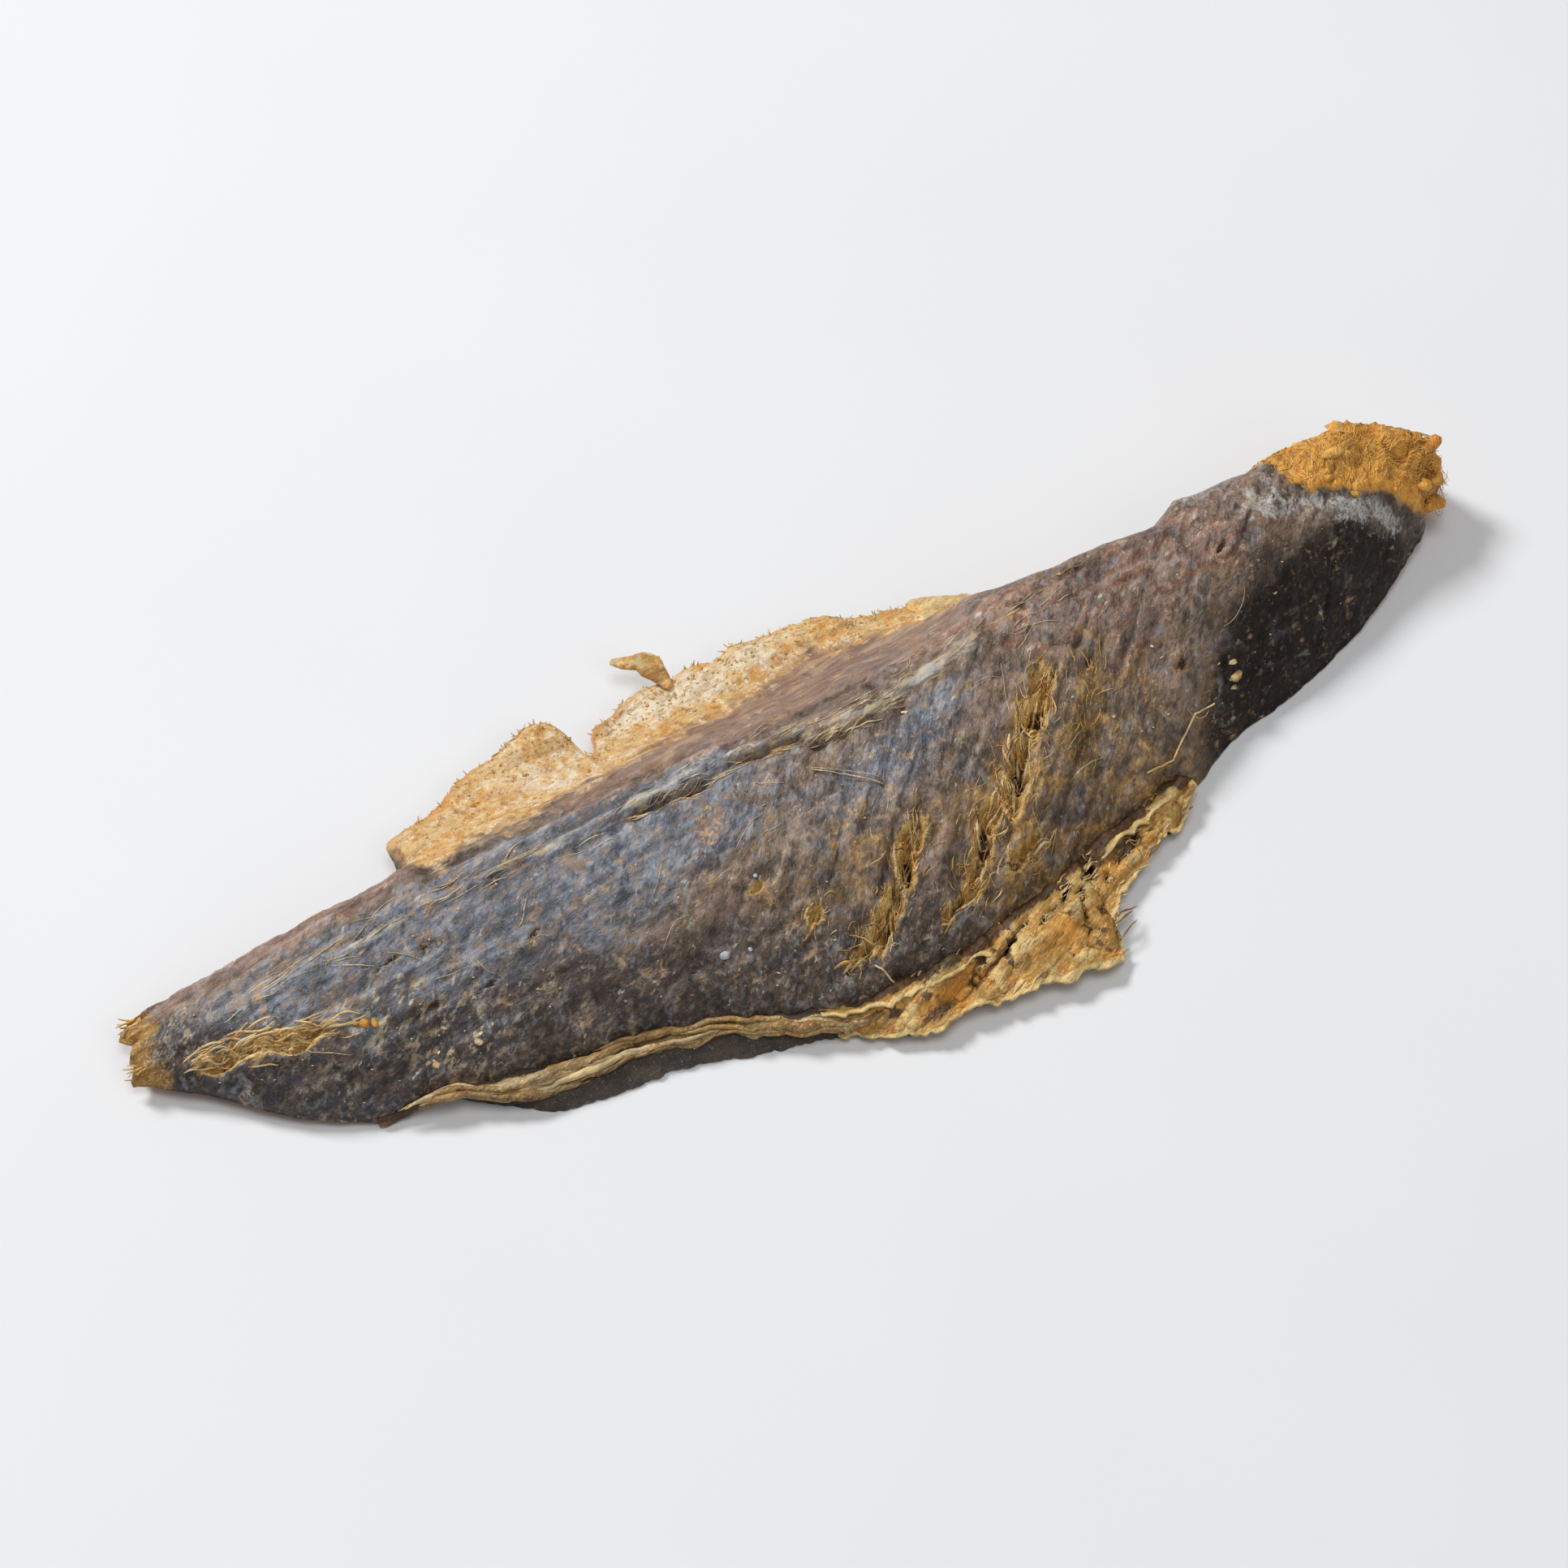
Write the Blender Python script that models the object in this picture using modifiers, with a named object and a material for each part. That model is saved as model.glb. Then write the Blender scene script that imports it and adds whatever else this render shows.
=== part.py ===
"""One hot-smoked, dried fish: headless, gutted, opened along the belly, lying skin side up.

Frame: +X runs from the tail stub to the cut head end, +Y to the side with the long
thin belly flap, +Z up.  The origin is the centre of the bounding box at its base.
All sizes are in metres.
"""
import math

import bmesh
import bpy
from mathutils import Vector

MM = 0.001

# ---------------------------------------------------------------- driving sizes
LENGTH = 171.0 * MM          # tail stub to the cut head end
FLAP_THICK = 1.3 * MM        # dried belly wall, the long flap on +Y
RAG_THICK = 1.5 * MM         # torn belly wall on -Y
FLAP_LIFT = 2.6 * MM         # underside of the +Y flap above the table
RAG_LIFT = 0.9 * MM          # underside of the -Y flap above the table
TAIL_LIFT = 1.6 * MM         # the tail stub and the head end curl up a little
HEAD_LIFT = 2.2 * MM
EDGE_SWELL = 1.0 * MM        # how far the skin's edge stands over the flap beside it

COLUMNS = 50                 # cage cells along the fish
FAR_ROWS, BACK_ROWS, NEAR_ROWS = 2, 5, 3   # cage cells: +Y flap, back, -Y flank and flap

# Half-widths and heights at stations along the fish, in mm.  Each row is
# station from the middle, +Y flap edge, +Y skin edge, crest offset, crest height,
# -Y skin edge, -Y flap edge.
STATIONS = (
    (-85.5, 4.4, 3.6, 0.4, 4.2, -2.0, -3.0),
    (-79.0, 5.5, 4.8, -0.6, 6.2, -6.4, -8.0),
    (-71.0, 5.7, 5.0, -2.0, 8.2, -13.0, -15.4),
    (-60.0, 6.2, 5.4, -2.6, 10.2, -17.6, -20.8),
    (-51.0, 7.2, 5.8, -2.6, 11.3, -20.6, -25.2),
    (-45.0, 12.6, 6.0, -2.6, 12.0, -22.0, -27.6),
    (-36.0, 16.8, 6.3, -2.7, 12.7, -23.2, -28.8),
    (-28.0, 19.3, 6.4, -2.6, 13.2, -25.2, -30.2),
    (-22.4, 14.8, 6.8, -2.6, 13.6, -27.6, -31.8),
    (-15.0, 17.8, 7.2, -2.8, 13.9, -30.6, -33.4),
    (-6.0, 18.2, 7.8, -3.0, 14.2, -31.6, -37.2),
    (4.0, 18.5, 8.4, -3.0, 14.3, -30.6, -38.6),
    (14.0, 15.8, 8.4, -2.4, 14.2, -28.4, -39.2),
    (20.5, 12.8, 8.2, -1.4, 13.9, -26.2, -34.0),
    (27.0, 9.4, 7.8, -0.4, 13.5, -24.4, -29.2),
    (34.0, 8.4, 7.4, 0.6, 13.2, -21.6, -25.4),
    (44.0, 8.0, 7.2, 1.2, 13.0, -18.0, -19.8),
    (56.0, 9.6, 8.8, 1.8, 12.8, -15.4, -16.8),
    (68.0, 9.6, 8.8, 2.2, 12.2, -11.0, -12.2),
    (77.0, 8.8, 7.9, 2.2, 11.0, -6.0, -7.0),
    (85.5, 5.2, 4.4, 1.6, 8.4, -1.6, -2.4),
)


def smooth(a, b, x):
    """0 below a, 1 above b, smooth between."""
    t = min(1.0, max(0.0, (x - a) / (b - a)))
    return t * t * (3.0 - 2.0 * t)


def station(x):
    """The six profile values at x mm, on Catmull-Rom curves through STATIONS."""
    rows = STATIONS
    last = len(rows) - 1
    i = max(0, min(last - 1, sum(1 for r in rows if r[0] <= x) - 1))
    r1, r2 = rows[i], rows[i + 1]
    r0, r3 = rows[max(0, i - 1)], rows[min(last, i + 2)]
    t = (x - r1[0]) / (r2[0] - r1[0])
    out = []
    for k in range(1, 7):
        step = r2[0] - r1[0]
        m1 = (r2[k] - r0[k]) / max(r2[0] - r0[0], 1e-9) * step
        m2 = (r3[k] - r1[k]) / max(r3[0] - r1[0], 1e-9) * step
        h = (
            (2 * t**3 - 3 * t**2 + 1) * r1[k]
            + (t**3 - 2 * t**2 + t) * m1
            + (-2 * t**3 + 3 * t**2) * r2[k]
            + (t**3 - t**2) * m2
        )
        out.append(h * MM)
    return out


def end_lift(x):
    """How far the underside curls off the table towards each end."""
    half = LENGTH / 2
    return TAIL_LIFT * smooth(0.62, 1.0, -x / half) + HEAD_LIFT * smooth(0.68, 1.0, x / half)


def column_x(c):
    """Station of cage column c: closer together at the two ends, where the fish tapers."""
    t = 2.0 * c / COLUMNS - 1.0
    return LENGTH / 2 * (0.86 * t + 0.14 * math.sin(math.pi * t / 2))


def row_place(row):
    """(zone, share across that zone) of a cage row, from the +Y edge to the -Y edge."""
    if row <= FAR_ROWS:
        return "far", row / FAR_ROWS
    row -= FAR_ROWS
    if row <= BACK_ROWS:
        return "back", row / BACK_ROWS
    return "near", (row - BACK_ROWS) / NEAR_ROWS


def section_point(c, row, top):
    """A cage point of the loft: column c along the fish, row across it, upper or lower side."""
    x = column_x(c)
    far, far_skin, crest, crest_z, near_skin, near = station(x / MM)
    zone, share = row_place(row)
    lift = end_lift(x)
    flap_low = FLAP_LIFT + lift
    rag_low = RAG_LIFT + lift
    side_z = 0.50 * crest_z
    if zone == "far":
        y = far + (far_skin - far) * share
        upper = flap_low + FLAP_THICK + (side_z - flap_low - FLAP_THICK) * share**1.6
        lower = flap_low * (1.0 - smooth(0.2, 1.0, share)) + lift * smooth(0.2, 1.0, share)
    elif zone == "back":
        y = far_skin + (near_skin - far_skin) * share
        if y >= crest:
            across = (y - crest) / max(far_skin - crest, 1e-6)
            upper = side_z + (crest_z - side_z) * math.sqrt(max(0.0, 1.0 - across**2)) ** 0.9
        else:
            across = (crest - y) / max(crest - near_skin, 1e-6)
            foot = rag_low + RAG_THICK + EDGE_SWELL
            upper = foot + (crest_z - foot) * (1.0 - across**2.1)
        lower = lift
    else:
        y = near_skin + (near - near_skin) * share
        foot = rag_low + RAG_THICK + EDGE_SWELL * (1.0 - smooth(0.0, 0.5, share))
        upper = foot
        lower = lift + (rag_low - lift) * smooth(0.25, 1.0, share)
    return Vector((x, y, upper if top else lower))


def material(name, colour, roughness):
    mat = bpy.data.materials.new(name)
    mat.use_nodes = True
    shader = mat.node_tree.nodes["Principled BSDF"]
    shader.inputs["Base Color"].default_value = (*colour, 1.0)
    shader.inputs["Roughness"].default_value = roughness
    shader.inputs["Metallic"].default_value = 0.0
    return mat


def smoked_fish(collection):
    """The whole fish as one closed solid: a grid, thickened into a slab, then lofted."""
    rows = FAR_ROWS + BACK_ROWS + NEAR_ROWS
    bm = bmesh.new()
    bmesh.ops.create_grid(bm, x_segments=COLUMNS, y_segments=rows, size=1.0)
    raised = bmesh.ops.extrude_face_region(bm, geom=list(bm.faces))
    for item in raised["geom"]:
        if isinstance(item, bmesh.types.BMVert):
            item.co.z = 1.0
    for vert in bm.verts:
        column = round((vert.co.x + 1.0) / 2.0 * COLUMNS)
        row = round((1.0 - vert.co.y) / 2.0 * rows)
        vert.co = section_point(column, row, vert.co.z > 0.5)
    bmesh.ops.recalc_face_normals(bm, faces=list(bm.faces))
    mesh = bpy.data.meshes.new("smoked_fish")
    bm.to_mesh(mesh)
    bm.free()
    mesh.shade_smooth()
    obj = bpy.data.objects.new("smoked_fish", mesh)
    collection.objects.link(obj)
    flesh = obj.modifiers.new("soft_form", "SUBSURF")
    flesh.levels = 1
    flesh.render_levels = 1
    obj.data.materials.append(material("smoked_fish_skin", (0.150, 0.120, 0.100), 0.5))
    return obj


def centre_on_base(obj):
    """Moves the fish so that its bounding box is centred on the origin and stands on z = 0."""
    graph = bpy.context.evaluated_depsgraph_get()
    shown = obj.evaluated_get(graph)
    points = [v.co.copy() for v in shown.to_mesh().vertices]
    shown.to_mesh_clear()
    low = Vector([min(p[i] for p in points) for i in range(3)])
    high = Vector([max(p[i] for p in points) for i in range(3)])
    shift = Vector((-(low.x + high.x) / 2, -(low.y + high.y) / 2, -low.z))
    for vert in obj.data.vertices:
        vert.co += shift


def main():
    for old in list(bpy.data.objects):
        bpy.data.objects.remove(old)
    collection = bpy.data.collections.new("smoked_fish")
    bpy.context.scene.collection.children.link(collection)
    fish = smoked_fish(collection)
    bpy.context.view_layer.update()
    centre_on_base(fish)


main()
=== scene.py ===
"""The looks of one smoked fish: headless, gutted, opened along the belly, skin side up.

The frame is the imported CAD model.  +X runs from the tail stub to the cut head end, +Y to the
side with the long thin flap.  Shapes are worked out in millimetres on the same loft as the CAD
solid and turned to metres when a mesh is made.
"""
import math

import bpy
import numpy as np
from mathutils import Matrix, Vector


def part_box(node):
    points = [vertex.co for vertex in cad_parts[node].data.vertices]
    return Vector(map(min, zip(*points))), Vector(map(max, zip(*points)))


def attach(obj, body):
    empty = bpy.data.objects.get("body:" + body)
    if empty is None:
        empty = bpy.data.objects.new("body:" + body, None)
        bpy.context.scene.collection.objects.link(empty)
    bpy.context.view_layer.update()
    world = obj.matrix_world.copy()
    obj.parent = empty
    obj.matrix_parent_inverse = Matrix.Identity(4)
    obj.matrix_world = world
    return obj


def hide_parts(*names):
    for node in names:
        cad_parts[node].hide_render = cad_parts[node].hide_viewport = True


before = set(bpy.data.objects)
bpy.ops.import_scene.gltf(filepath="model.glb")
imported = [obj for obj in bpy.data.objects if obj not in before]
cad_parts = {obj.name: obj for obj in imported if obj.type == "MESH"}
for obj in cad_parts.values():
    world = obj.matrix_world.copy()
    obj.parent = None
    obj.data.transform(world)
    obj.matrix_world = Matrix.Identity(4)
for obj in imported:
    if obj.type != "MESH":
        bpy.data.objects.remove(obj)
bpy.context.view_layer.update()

MM = 0.001
LOW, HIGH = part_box("smoked_fish")
HALF = (HIGH.x - LOW.x) / 2 / MM                   # half of the fish's length, mm
RIM_Y = 18.6                                       # the loft's own Y of the long flap's rim at the middle
SHIFT_Y = HIGH.y / MM - 18.59                      # loft Y to frame Y, mm

# ------------------------------------------------------------------ the loft, as in the CAD, mm
# station, +Y flap edge, +Y skin edge, crest offset, crest height, -Y skin edge, -Y flap edge
STATIONS = (
    (-85.5, 4.4, 3.6, 0.4, 4.2, -2.0, -3.0),
    (-79.0, 5.5, 4.8, -0.6, 6.2, -6.4, -8.0),
    (-71.0, 5.7, 5.0, -2.0, 8.2, -13.0, -15.4),
    (-60.0, 6.2, 5.4, -2.6, 10.2, -17.6, -20.8),
    (-51.0, 7.2, 5.8, -2.6, 11.3, -20.6, -25.2),
    (-45.0, 12.6, 6.0, -2.6, 12.0, -22.0, -27.6),
    (-36.0, 16.8, 6.3, -2.7, 12.7, -23.2, -28.8),
    (-28.0, 19.3, 6.4, -2.6, 13.2, -25.2, -30.2),
    (-22.4, 14.8, 6.8, -2.6, 13.6, -27.6, -31.8),
    (-15.0, 17.8, 7.2, -2.8, 13.9, -30.6, -33.4),
    (-6.0, 18.2, 7.8, -3.0, 14.2, -31.6, -37.2),
    (4.0, 18.5, 8.4, -3.0, 14.3, -30.6, -38.6),
    (14.0, 15.8, 8.4, -2.4, 14.2, -28.4, -39.2),
    (20.5, 12.8, 8.2, -1.4, 13.9, -26.2, -34.0),
    (27.0, 9.4, 7.8, -0.4, 13.5, -24.4, -29.2),
    (34.0, 8.4, 7.4, 0.6, 13.2, -21.6, -25.4),
    (44.0, 8.0, 7.2, 1.2, 13.0, -18.0, -19.8),
    (56.0, 9.6, 8.8, 1.8, 12.8, -15.4, -16.8),
    (68.0, 9.6, 8.8, 2.2, 12.2, -11.0, -12.2),
    (77.0, 8.8, 7.9, 2.2, 11.0, -6.0, -7.0),
    (85.5, 5.2, 4.4, 1.6, 8.4, -1.6, -2.4),
)
FLAP_RIM = (          # the +Y outline: tail rim, rounded tab, peak, notch, scallops, head end
    (-85.5, 4.2), (-80.6, 5.4), (-72.0, 5.5), (-63.0, 5.9), (-55.0, 6.0), (-50.2, 6.6), (-48.6, 8.4),
    (-47.2, 11.6), (-45.4, 13.0), (-42.2, 13.9), (-36.3, 16.9), (-31.6, 17.9), (-28.6, 19.2),
    (-26.6, 19.6), (-24.9, 19.2), (-23.6, 16.6), (-22.9, 12.6), (-22.1, 12.5), (-20.8, 15.2),
    (-17.6, 16.4), (-14.7, 17.7), (-10.3, 17.9), (-6.0, 18.1), (-3.6, 17.5), (-1.2, 18.6), (2.6, 18.3),
    (6.9, 18.2), (10.6, 17.3), (13.9, 15.5), (17.7, 14.7), (20.9, 12.8), (23.6, 10.2), (27.3, 8.8),
    (31.2, 8.3), (35.0, 7.6), (39.5, 7.9), (47.6, 7.3), (50.4, 8.6), (52.0, 10.0), (54.0, 9.4),
    (58.0, 10.0), (63.3, 9.5), (68.7, 10.2), (74.0, 9.8), (78.2, 9.0), (82.0, 6.6), (85.5, 4.2),
)
CREASE = (            # the line along the back that catches the light
    (-85.5, 0.2), (-78.0, -0.9), (-71.7, -2.6), (-58.0, -2.6), (-49.0, -2.4), (-39.0, -2.8),
    (-24.0, -2.6), (-12.0, -1.9), (-5.0, -2.4), (3.8, -4.0), (10.0, -3.0), (17.4, -1.3), (24.0, -0.4),
    (30.5, 0.8), (38.0, 2.6), (48.0, 5.0), (85.5, 8.0),
)
GOLD_START = (        # where the thin flap turns from brown to gold
    (-60.0, 1.5), (-46.0, 2.2), (-36.0, 3.8), (-26.0, 6.2), (-15.0, 8.8), (-5.0, 10.8), (5.0, 11.6), (14.0, 10.4), (20.0, 9.0), (30.0, 8.0), (60.0, 9.0),
)
CRACK = (             # the split in the skin beside it
    (-27.0, -3.3), (-22.3, -3.6), (-16.3, -4.1), (-12.5, -3.1), (-9.0, -3.2), (-5.1, -3.5), (-2.8, -5.4),
    (2.3, -5.3), (6.0, -4.4), (12.0, -3.4),
)
DARK_LINE = (         # upper limit of the near-black zone towards the head end: dark skin with painted shade
    (36.0, -19.0), (42.0, -14.0), (47.0, -9.6), (52.0, -6.2), (58.4, -3.6), (69.2, -3.6), (80.5, -4.4), (85.5, -4.6),
)
# tears in the skin: x, y, half length, half width, direction in degrees, depth
TEARS = (
    (23.6, -9.4, 2.4, 1.2, 58.0, 0.7), (21.4, -12.2, 2.0, 1.1, 40.0, 1.5), (18.6, -14.2, 2.4, 0.7, 66.0, 0.9),
    (16.4, -17.2, 2.6, 0.9, 62.0, 1.9), (14.0, -20.0, 1.7, 0.9, 75.0, 0.8), (11.0, -20.4, 2.0, 1.2, 35.0, 0.8),
    (8.8, -22.7, 2.2, 1.0, 58.0, 1.7), (6.2, -25.4, 1.8, 0.8, 40.0, 0.9), (1.4, -19.6, 2.4, 1.0, 32.0, 0.8),
    (-0.6, -22.2, 2.0, 0.9, 60.0, 1.8), (-3.0, -24.4, 1.6, 0.8, 45.0, 0.8), (-6.0, -26.4, 2.2, 0.9, 50.0, 1.4),
    (-9.0, -27.6, 2.0, 0.6, 12.0, 0.8), (30.6, -8.4, 1.8, 0.35, 35.0, 0.6), (3.8, -27.0, 3.0, 0.7, 18.0, 1.1),
    (12.6, -24.9, 3.0, 0.7, 22.0, 1.0), (-12.2, -22.6, 1.4, 0.6, 20.0, 0.6), (-17.0, -17.6, 1.2, 0.5, 10.0, 0.5),
    (-75.4, -6.6, 3.4, 0.9, -16.0, 0.9), (-69.6, -8.6, 4.4, 0.9, -20.0, 0.8), (-56.4, -6.2, 2.2, 0.22, 4.0, 0.6),
    (-51.5, -6.5, 1.8, 0.20, 6.0, 0.6), (-53.9, -12.4, 1.2, 0.25, 10.0, 0.5), (-47.8, -13.5, 2.4, 0.22, 8.0, 0.6),
    (-41.0, -11.0, 1.6, 0.18, 20.0, 0.4), (52.0, -2.0, 1.5, 0.3, 30.0, 0.5), (41.0, -12.0, 1.6, 0.35, 40.0, 0.5),
)
# furrows that join the tears: points along each
FURROWS = (
    ((25.5, -8.4), (22.4, -11.2), (18.6, -14.4), (15.8, -17.6), (12.4, -20.2), (8.8, -22.4), (5.6, -25.2)),
    ((3.2, -18.4), (0.2, -20.8), (-2.4, -23.4), (-5.6, -26.2), (-9.6, -28.0)),
    ((33.0, -6.4), (30.0, -9.2), (27.0, -13.0), (25.0, -17.4)),
)
FLAP_THICK, FLAP_LIFT, RAG_LIFT = 1.3, 2.6, 0.9
TAIL_LIFT, HEAD_LIFT = 1.6, 2.2


# ------------------------------------------------------------------ small mathematics
def smooth(a, b, x):
    t = np.clip((np.asarray(x, float) - a) / (b - a), 0.0, 1.0)
    return t * t * (3.0 - 2.0 * t)


def mix(a, b, t):
    return a + (b - a) * t


def curve(points, x, k=1):
    """Column k of a table of points, on a smooth curve through them, at x."""
    p = np.asarray(points, float)
    x = np.clip(np.asarray(x, float), p[0, 0], p[-1, 0])
    i = np.clip(np.searchsorted(p[:, 0], x, side="right") - 1, 0, len(p) - 2)
    a, b = np.maximum(i - 1, 0), np.minimum(i + 2, len(p) - 1)
    x1, x2, y1, y2 = p[i, 0], p[i + 1, 0], p[i, k], p[i + 1, k]
    step = x2 - x1
    m1 = (y2 - p[a, k]) / (x2 - p[a, 0]) * step
    m2 = (p[b, k] - y1) / (p[b, 0] - x1) * step
    t = (x - x1) / step
    return ((2 * t**3 - 3 * t**2 + 1) * y1 + (t**3 - 2 * t**2 + t) * m1
            + (-2 * t**3 + 3 * t**2) * y2 + (t**3 - t**2) * m2)


def lattice(ix, iy, seed):
    h = (ix.astype(np.int64) * 374761393 + iy.astype(np.int64) * 668265263 + seed * 974634777) & 0xFFFFFFFF
    h = ((h ^ (h >> 13)) * 1274126177) & 0xFFFFFFFF
    return ((h ^ (h >> 16)) & 0xFFFFFF) / float(0xFFFFFF)


def noise(x, y, seed=0):
    """Smooth noise from -1 to 1 with cells one unit wide."""
    x, y = np.broadcast_arrays(np.asarray(x, float), np.asarray(y, float))
    ix, iy = np.floor(x), np.floor(y)
    fx, fy = x - ix, y - iy
    ux, uy = fx * fx * fx * (fx * (fx * 6 - 15) + 10), fy * fy * fy * (fy * (fy * 6 - 15) + 10)
    a, b = lattice(ix, iy, seed), lattice(ix + 1, iy, seed)
    c, d = lattice(ix, iy + 1, seed), lattice(ix + 1, iy + 1, seed)
    return 2.0 * mix(mix(a, b, ux), mix(c, d, ux), uy) - 1.0


def fbm(x, y, seed=0, octaves=3, fall=0.5):
    total, size, out = 0.0, 1.0, 0.0
    for o in range(octaves):
        out = out + size * noise(x * 2.03**o + 17.3 * o, y * 2.03**o - 9.1 * o, seed + 31 * o)
        total += size
        size *= fall
    return out / total


def ridged(x, y, seed=0):
    return 1.0 - np.abs(noise(x, y, seed)) * 2.0


def spot(x, y, cx, cy, rx, ry, turn=0.0):
    """1 in the middle of an oval, falling to 0 outside it."""
    c, s = math.cos(math.radians(turn)), math.sin(math.radians(turn))
    u = ((x - cx) * c + (y - cy) * s) / rx
    v = (-(x - cx) * s + (y - cy) * c) / ry
    return np.exp(-(u * u + v * v))


def to_line(x, y, points):
    """Distance to a line of points."""
    best = np.full(np.shape(x), 1e9)
    for (ax, ay), (bx, by) in zip(points[:-1], points[1:]):
        dx, dy = bx - ax, by - ay
        t = np.clip(((x - ax) * dx + (y - ay) * dy) / (dx * dx + dy * dy), 0, 1)
        best = np.minimum(best, np.hypot(x - ax - t * dx, y - ay - t * dy))
    return best


def rotate(x, y, degrees):
    c, s = math.cos(math.radians(degrees)), math.sin(math.radians(degrees))
    return x * c + y * s, -x * s + y * c


# ------------------------------------------------------------------ the fish's upper surface
def lift_of(x):
    return TAIL_LIFT * smooth(0.62, 1.0, -x / HALF) + HEAD_LIFT * smooth(0.68, 1.0, x / HALF)


def closed_side(x):
    """1 where the -Y skin rolls down to the table, 0 where it ends in a lip over the flesh."""
    return np.maximum(1.0 - smooth(-64.0, -55.0, x), smooth(31.0, 40.0, x))


def rim_far(x):
    rag = 0.30 * fbm(x * 0.55, 0.0, 3, 3) + 0.16 * noise(x * 1.9, 0.5, 4)
    on = smooth(-50.0, -46.0, x) * (1.0 - smooth(22.0, 30.0, x))
    return curve(FLAP_RIM, x) + rag * (0.35 + 0.9 * on)


def skin_far(x):
    """The +Y edge of the thick body, always a little inside the rim."""
    return np.minimum(curve(STATIONS, x, 2), rim_far(x) - 0.7)


def edge_near(x):
    closed = closed_side(x)
    skin, rim = curve(STATIONS, x, 5), curve(STATIONS, x, 6)
    rag = 0.55 * fbm(x * 0.30, 7.0, 8, 3) + 0.22 * noise(x * 1.2, 2.5, 9)
    return mix(skin - 0.3, rim + 0.5, closed) + rag * mix(1.0, 0.45, closed)


def foot_of(x):
    return mix(3.3, 0.9, closed_side(x)) + 0.25 * noise(x * 0.25, 3.3, 12) * (1 - closed_side(x)) + lift_of(x)


def smooth_top(x, y):
    """The loft's own height, without the fine relief."""
    far_skin, crest, crest_z = skin_far(x), curve(STATIONS, x, 3), curve(STATIONS, x, 4)
    far, near = rim_far(x), edge_near(x)
    lift, foot = lift_of(x), foot_of(x)
    flap_top = FLAP_LIFT + lift + 0.4 + 0.9 * smooth(0.0, 5.0, far - y)
    side = 0.5 * crest_z
    # steep side where there is no flap
    u = np.clip((y - crest) / (far_skin - crest), 0.0, 1.0)
    steep = side + (crest_z - side) * np.clip(1.0 - u * u, 0.0, 1.0) ** 0.45
    t = np.clip((far - y) / np.maximum(far - far_skin, 0.3), 0.0, 1.0)
    low_side = FLAP_LIFT + lift + 0.5 - 1.6 * (1 - smooth(1.5, 7.0, far - far_skin))
    outer = low_side + (side - low_side) * t**1.2
    steep = np.where(y > far_skin, outer, steep)
    # long gentle fall where the flap is wide
    reach = 17.5 + 0.0 * x
    d = np.clip((y - crest) / reach, 0.0, 1.0)
    gentle = flap_top + (crest_z - flap_top) * (0.5 + 0.5 * np.cos(math.pi * d**0.92))
    wide = smooth(1.5, 7.0, far - far_skin)
    beyond = mix(steep, gentle, wide)
    # near flank
    v = np.clip((crest - y) / (crest - near), 0.0, 1.0)
    flank = foot + (crest_z - foot) * (1.0 - v**2.25)
    flank = flank - 0.9 * smooth(0.93, 1.0, v) ** 1.5
    return np.where(y > crest, beyond, flank)


def tear_field(x, y):
    """(how deep, how much flesh shows, raised lip) of the tears at a point."""
    wob_x = x + 0.55 * fbm(x * 0.8, y * 0.8, 41, 2)
    wob_y = y + 0.55 * fbm(x * 0.8, y * 0.8, 47, 2)
    deep = np.zeros_like(x)
    open_ = np.zeros_like(x)
    lip = np.zeros_like(x)
    for cx, cy, ln, wd, turn, depth in TEARS:
        c, s = math.cos(math.radians(turn)), math.sin(math.radians(turn))
        u = ((wob_x - cx) * c + (wob_y - cy) * s) / ln
        v = (-(wob_x - cx) * s + (wob_y - cy) * c) / wd
        r = np.sqrt(u * u + v * v)
        inside = 1.0 - smooth(0.55, 1.1, r)
        deep = np.maximum(deep, depth * inside)
        open_ = np.maximum(open_, 1.0 - smooth(0.85, 1.45, r))
        lip = np.maximum(lip, 0.32 * np.exp(-((r - 1.35) / 0.28) ** 2) * min(1.0, wd / 0.8))
    return deep, open_, lip


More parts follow.
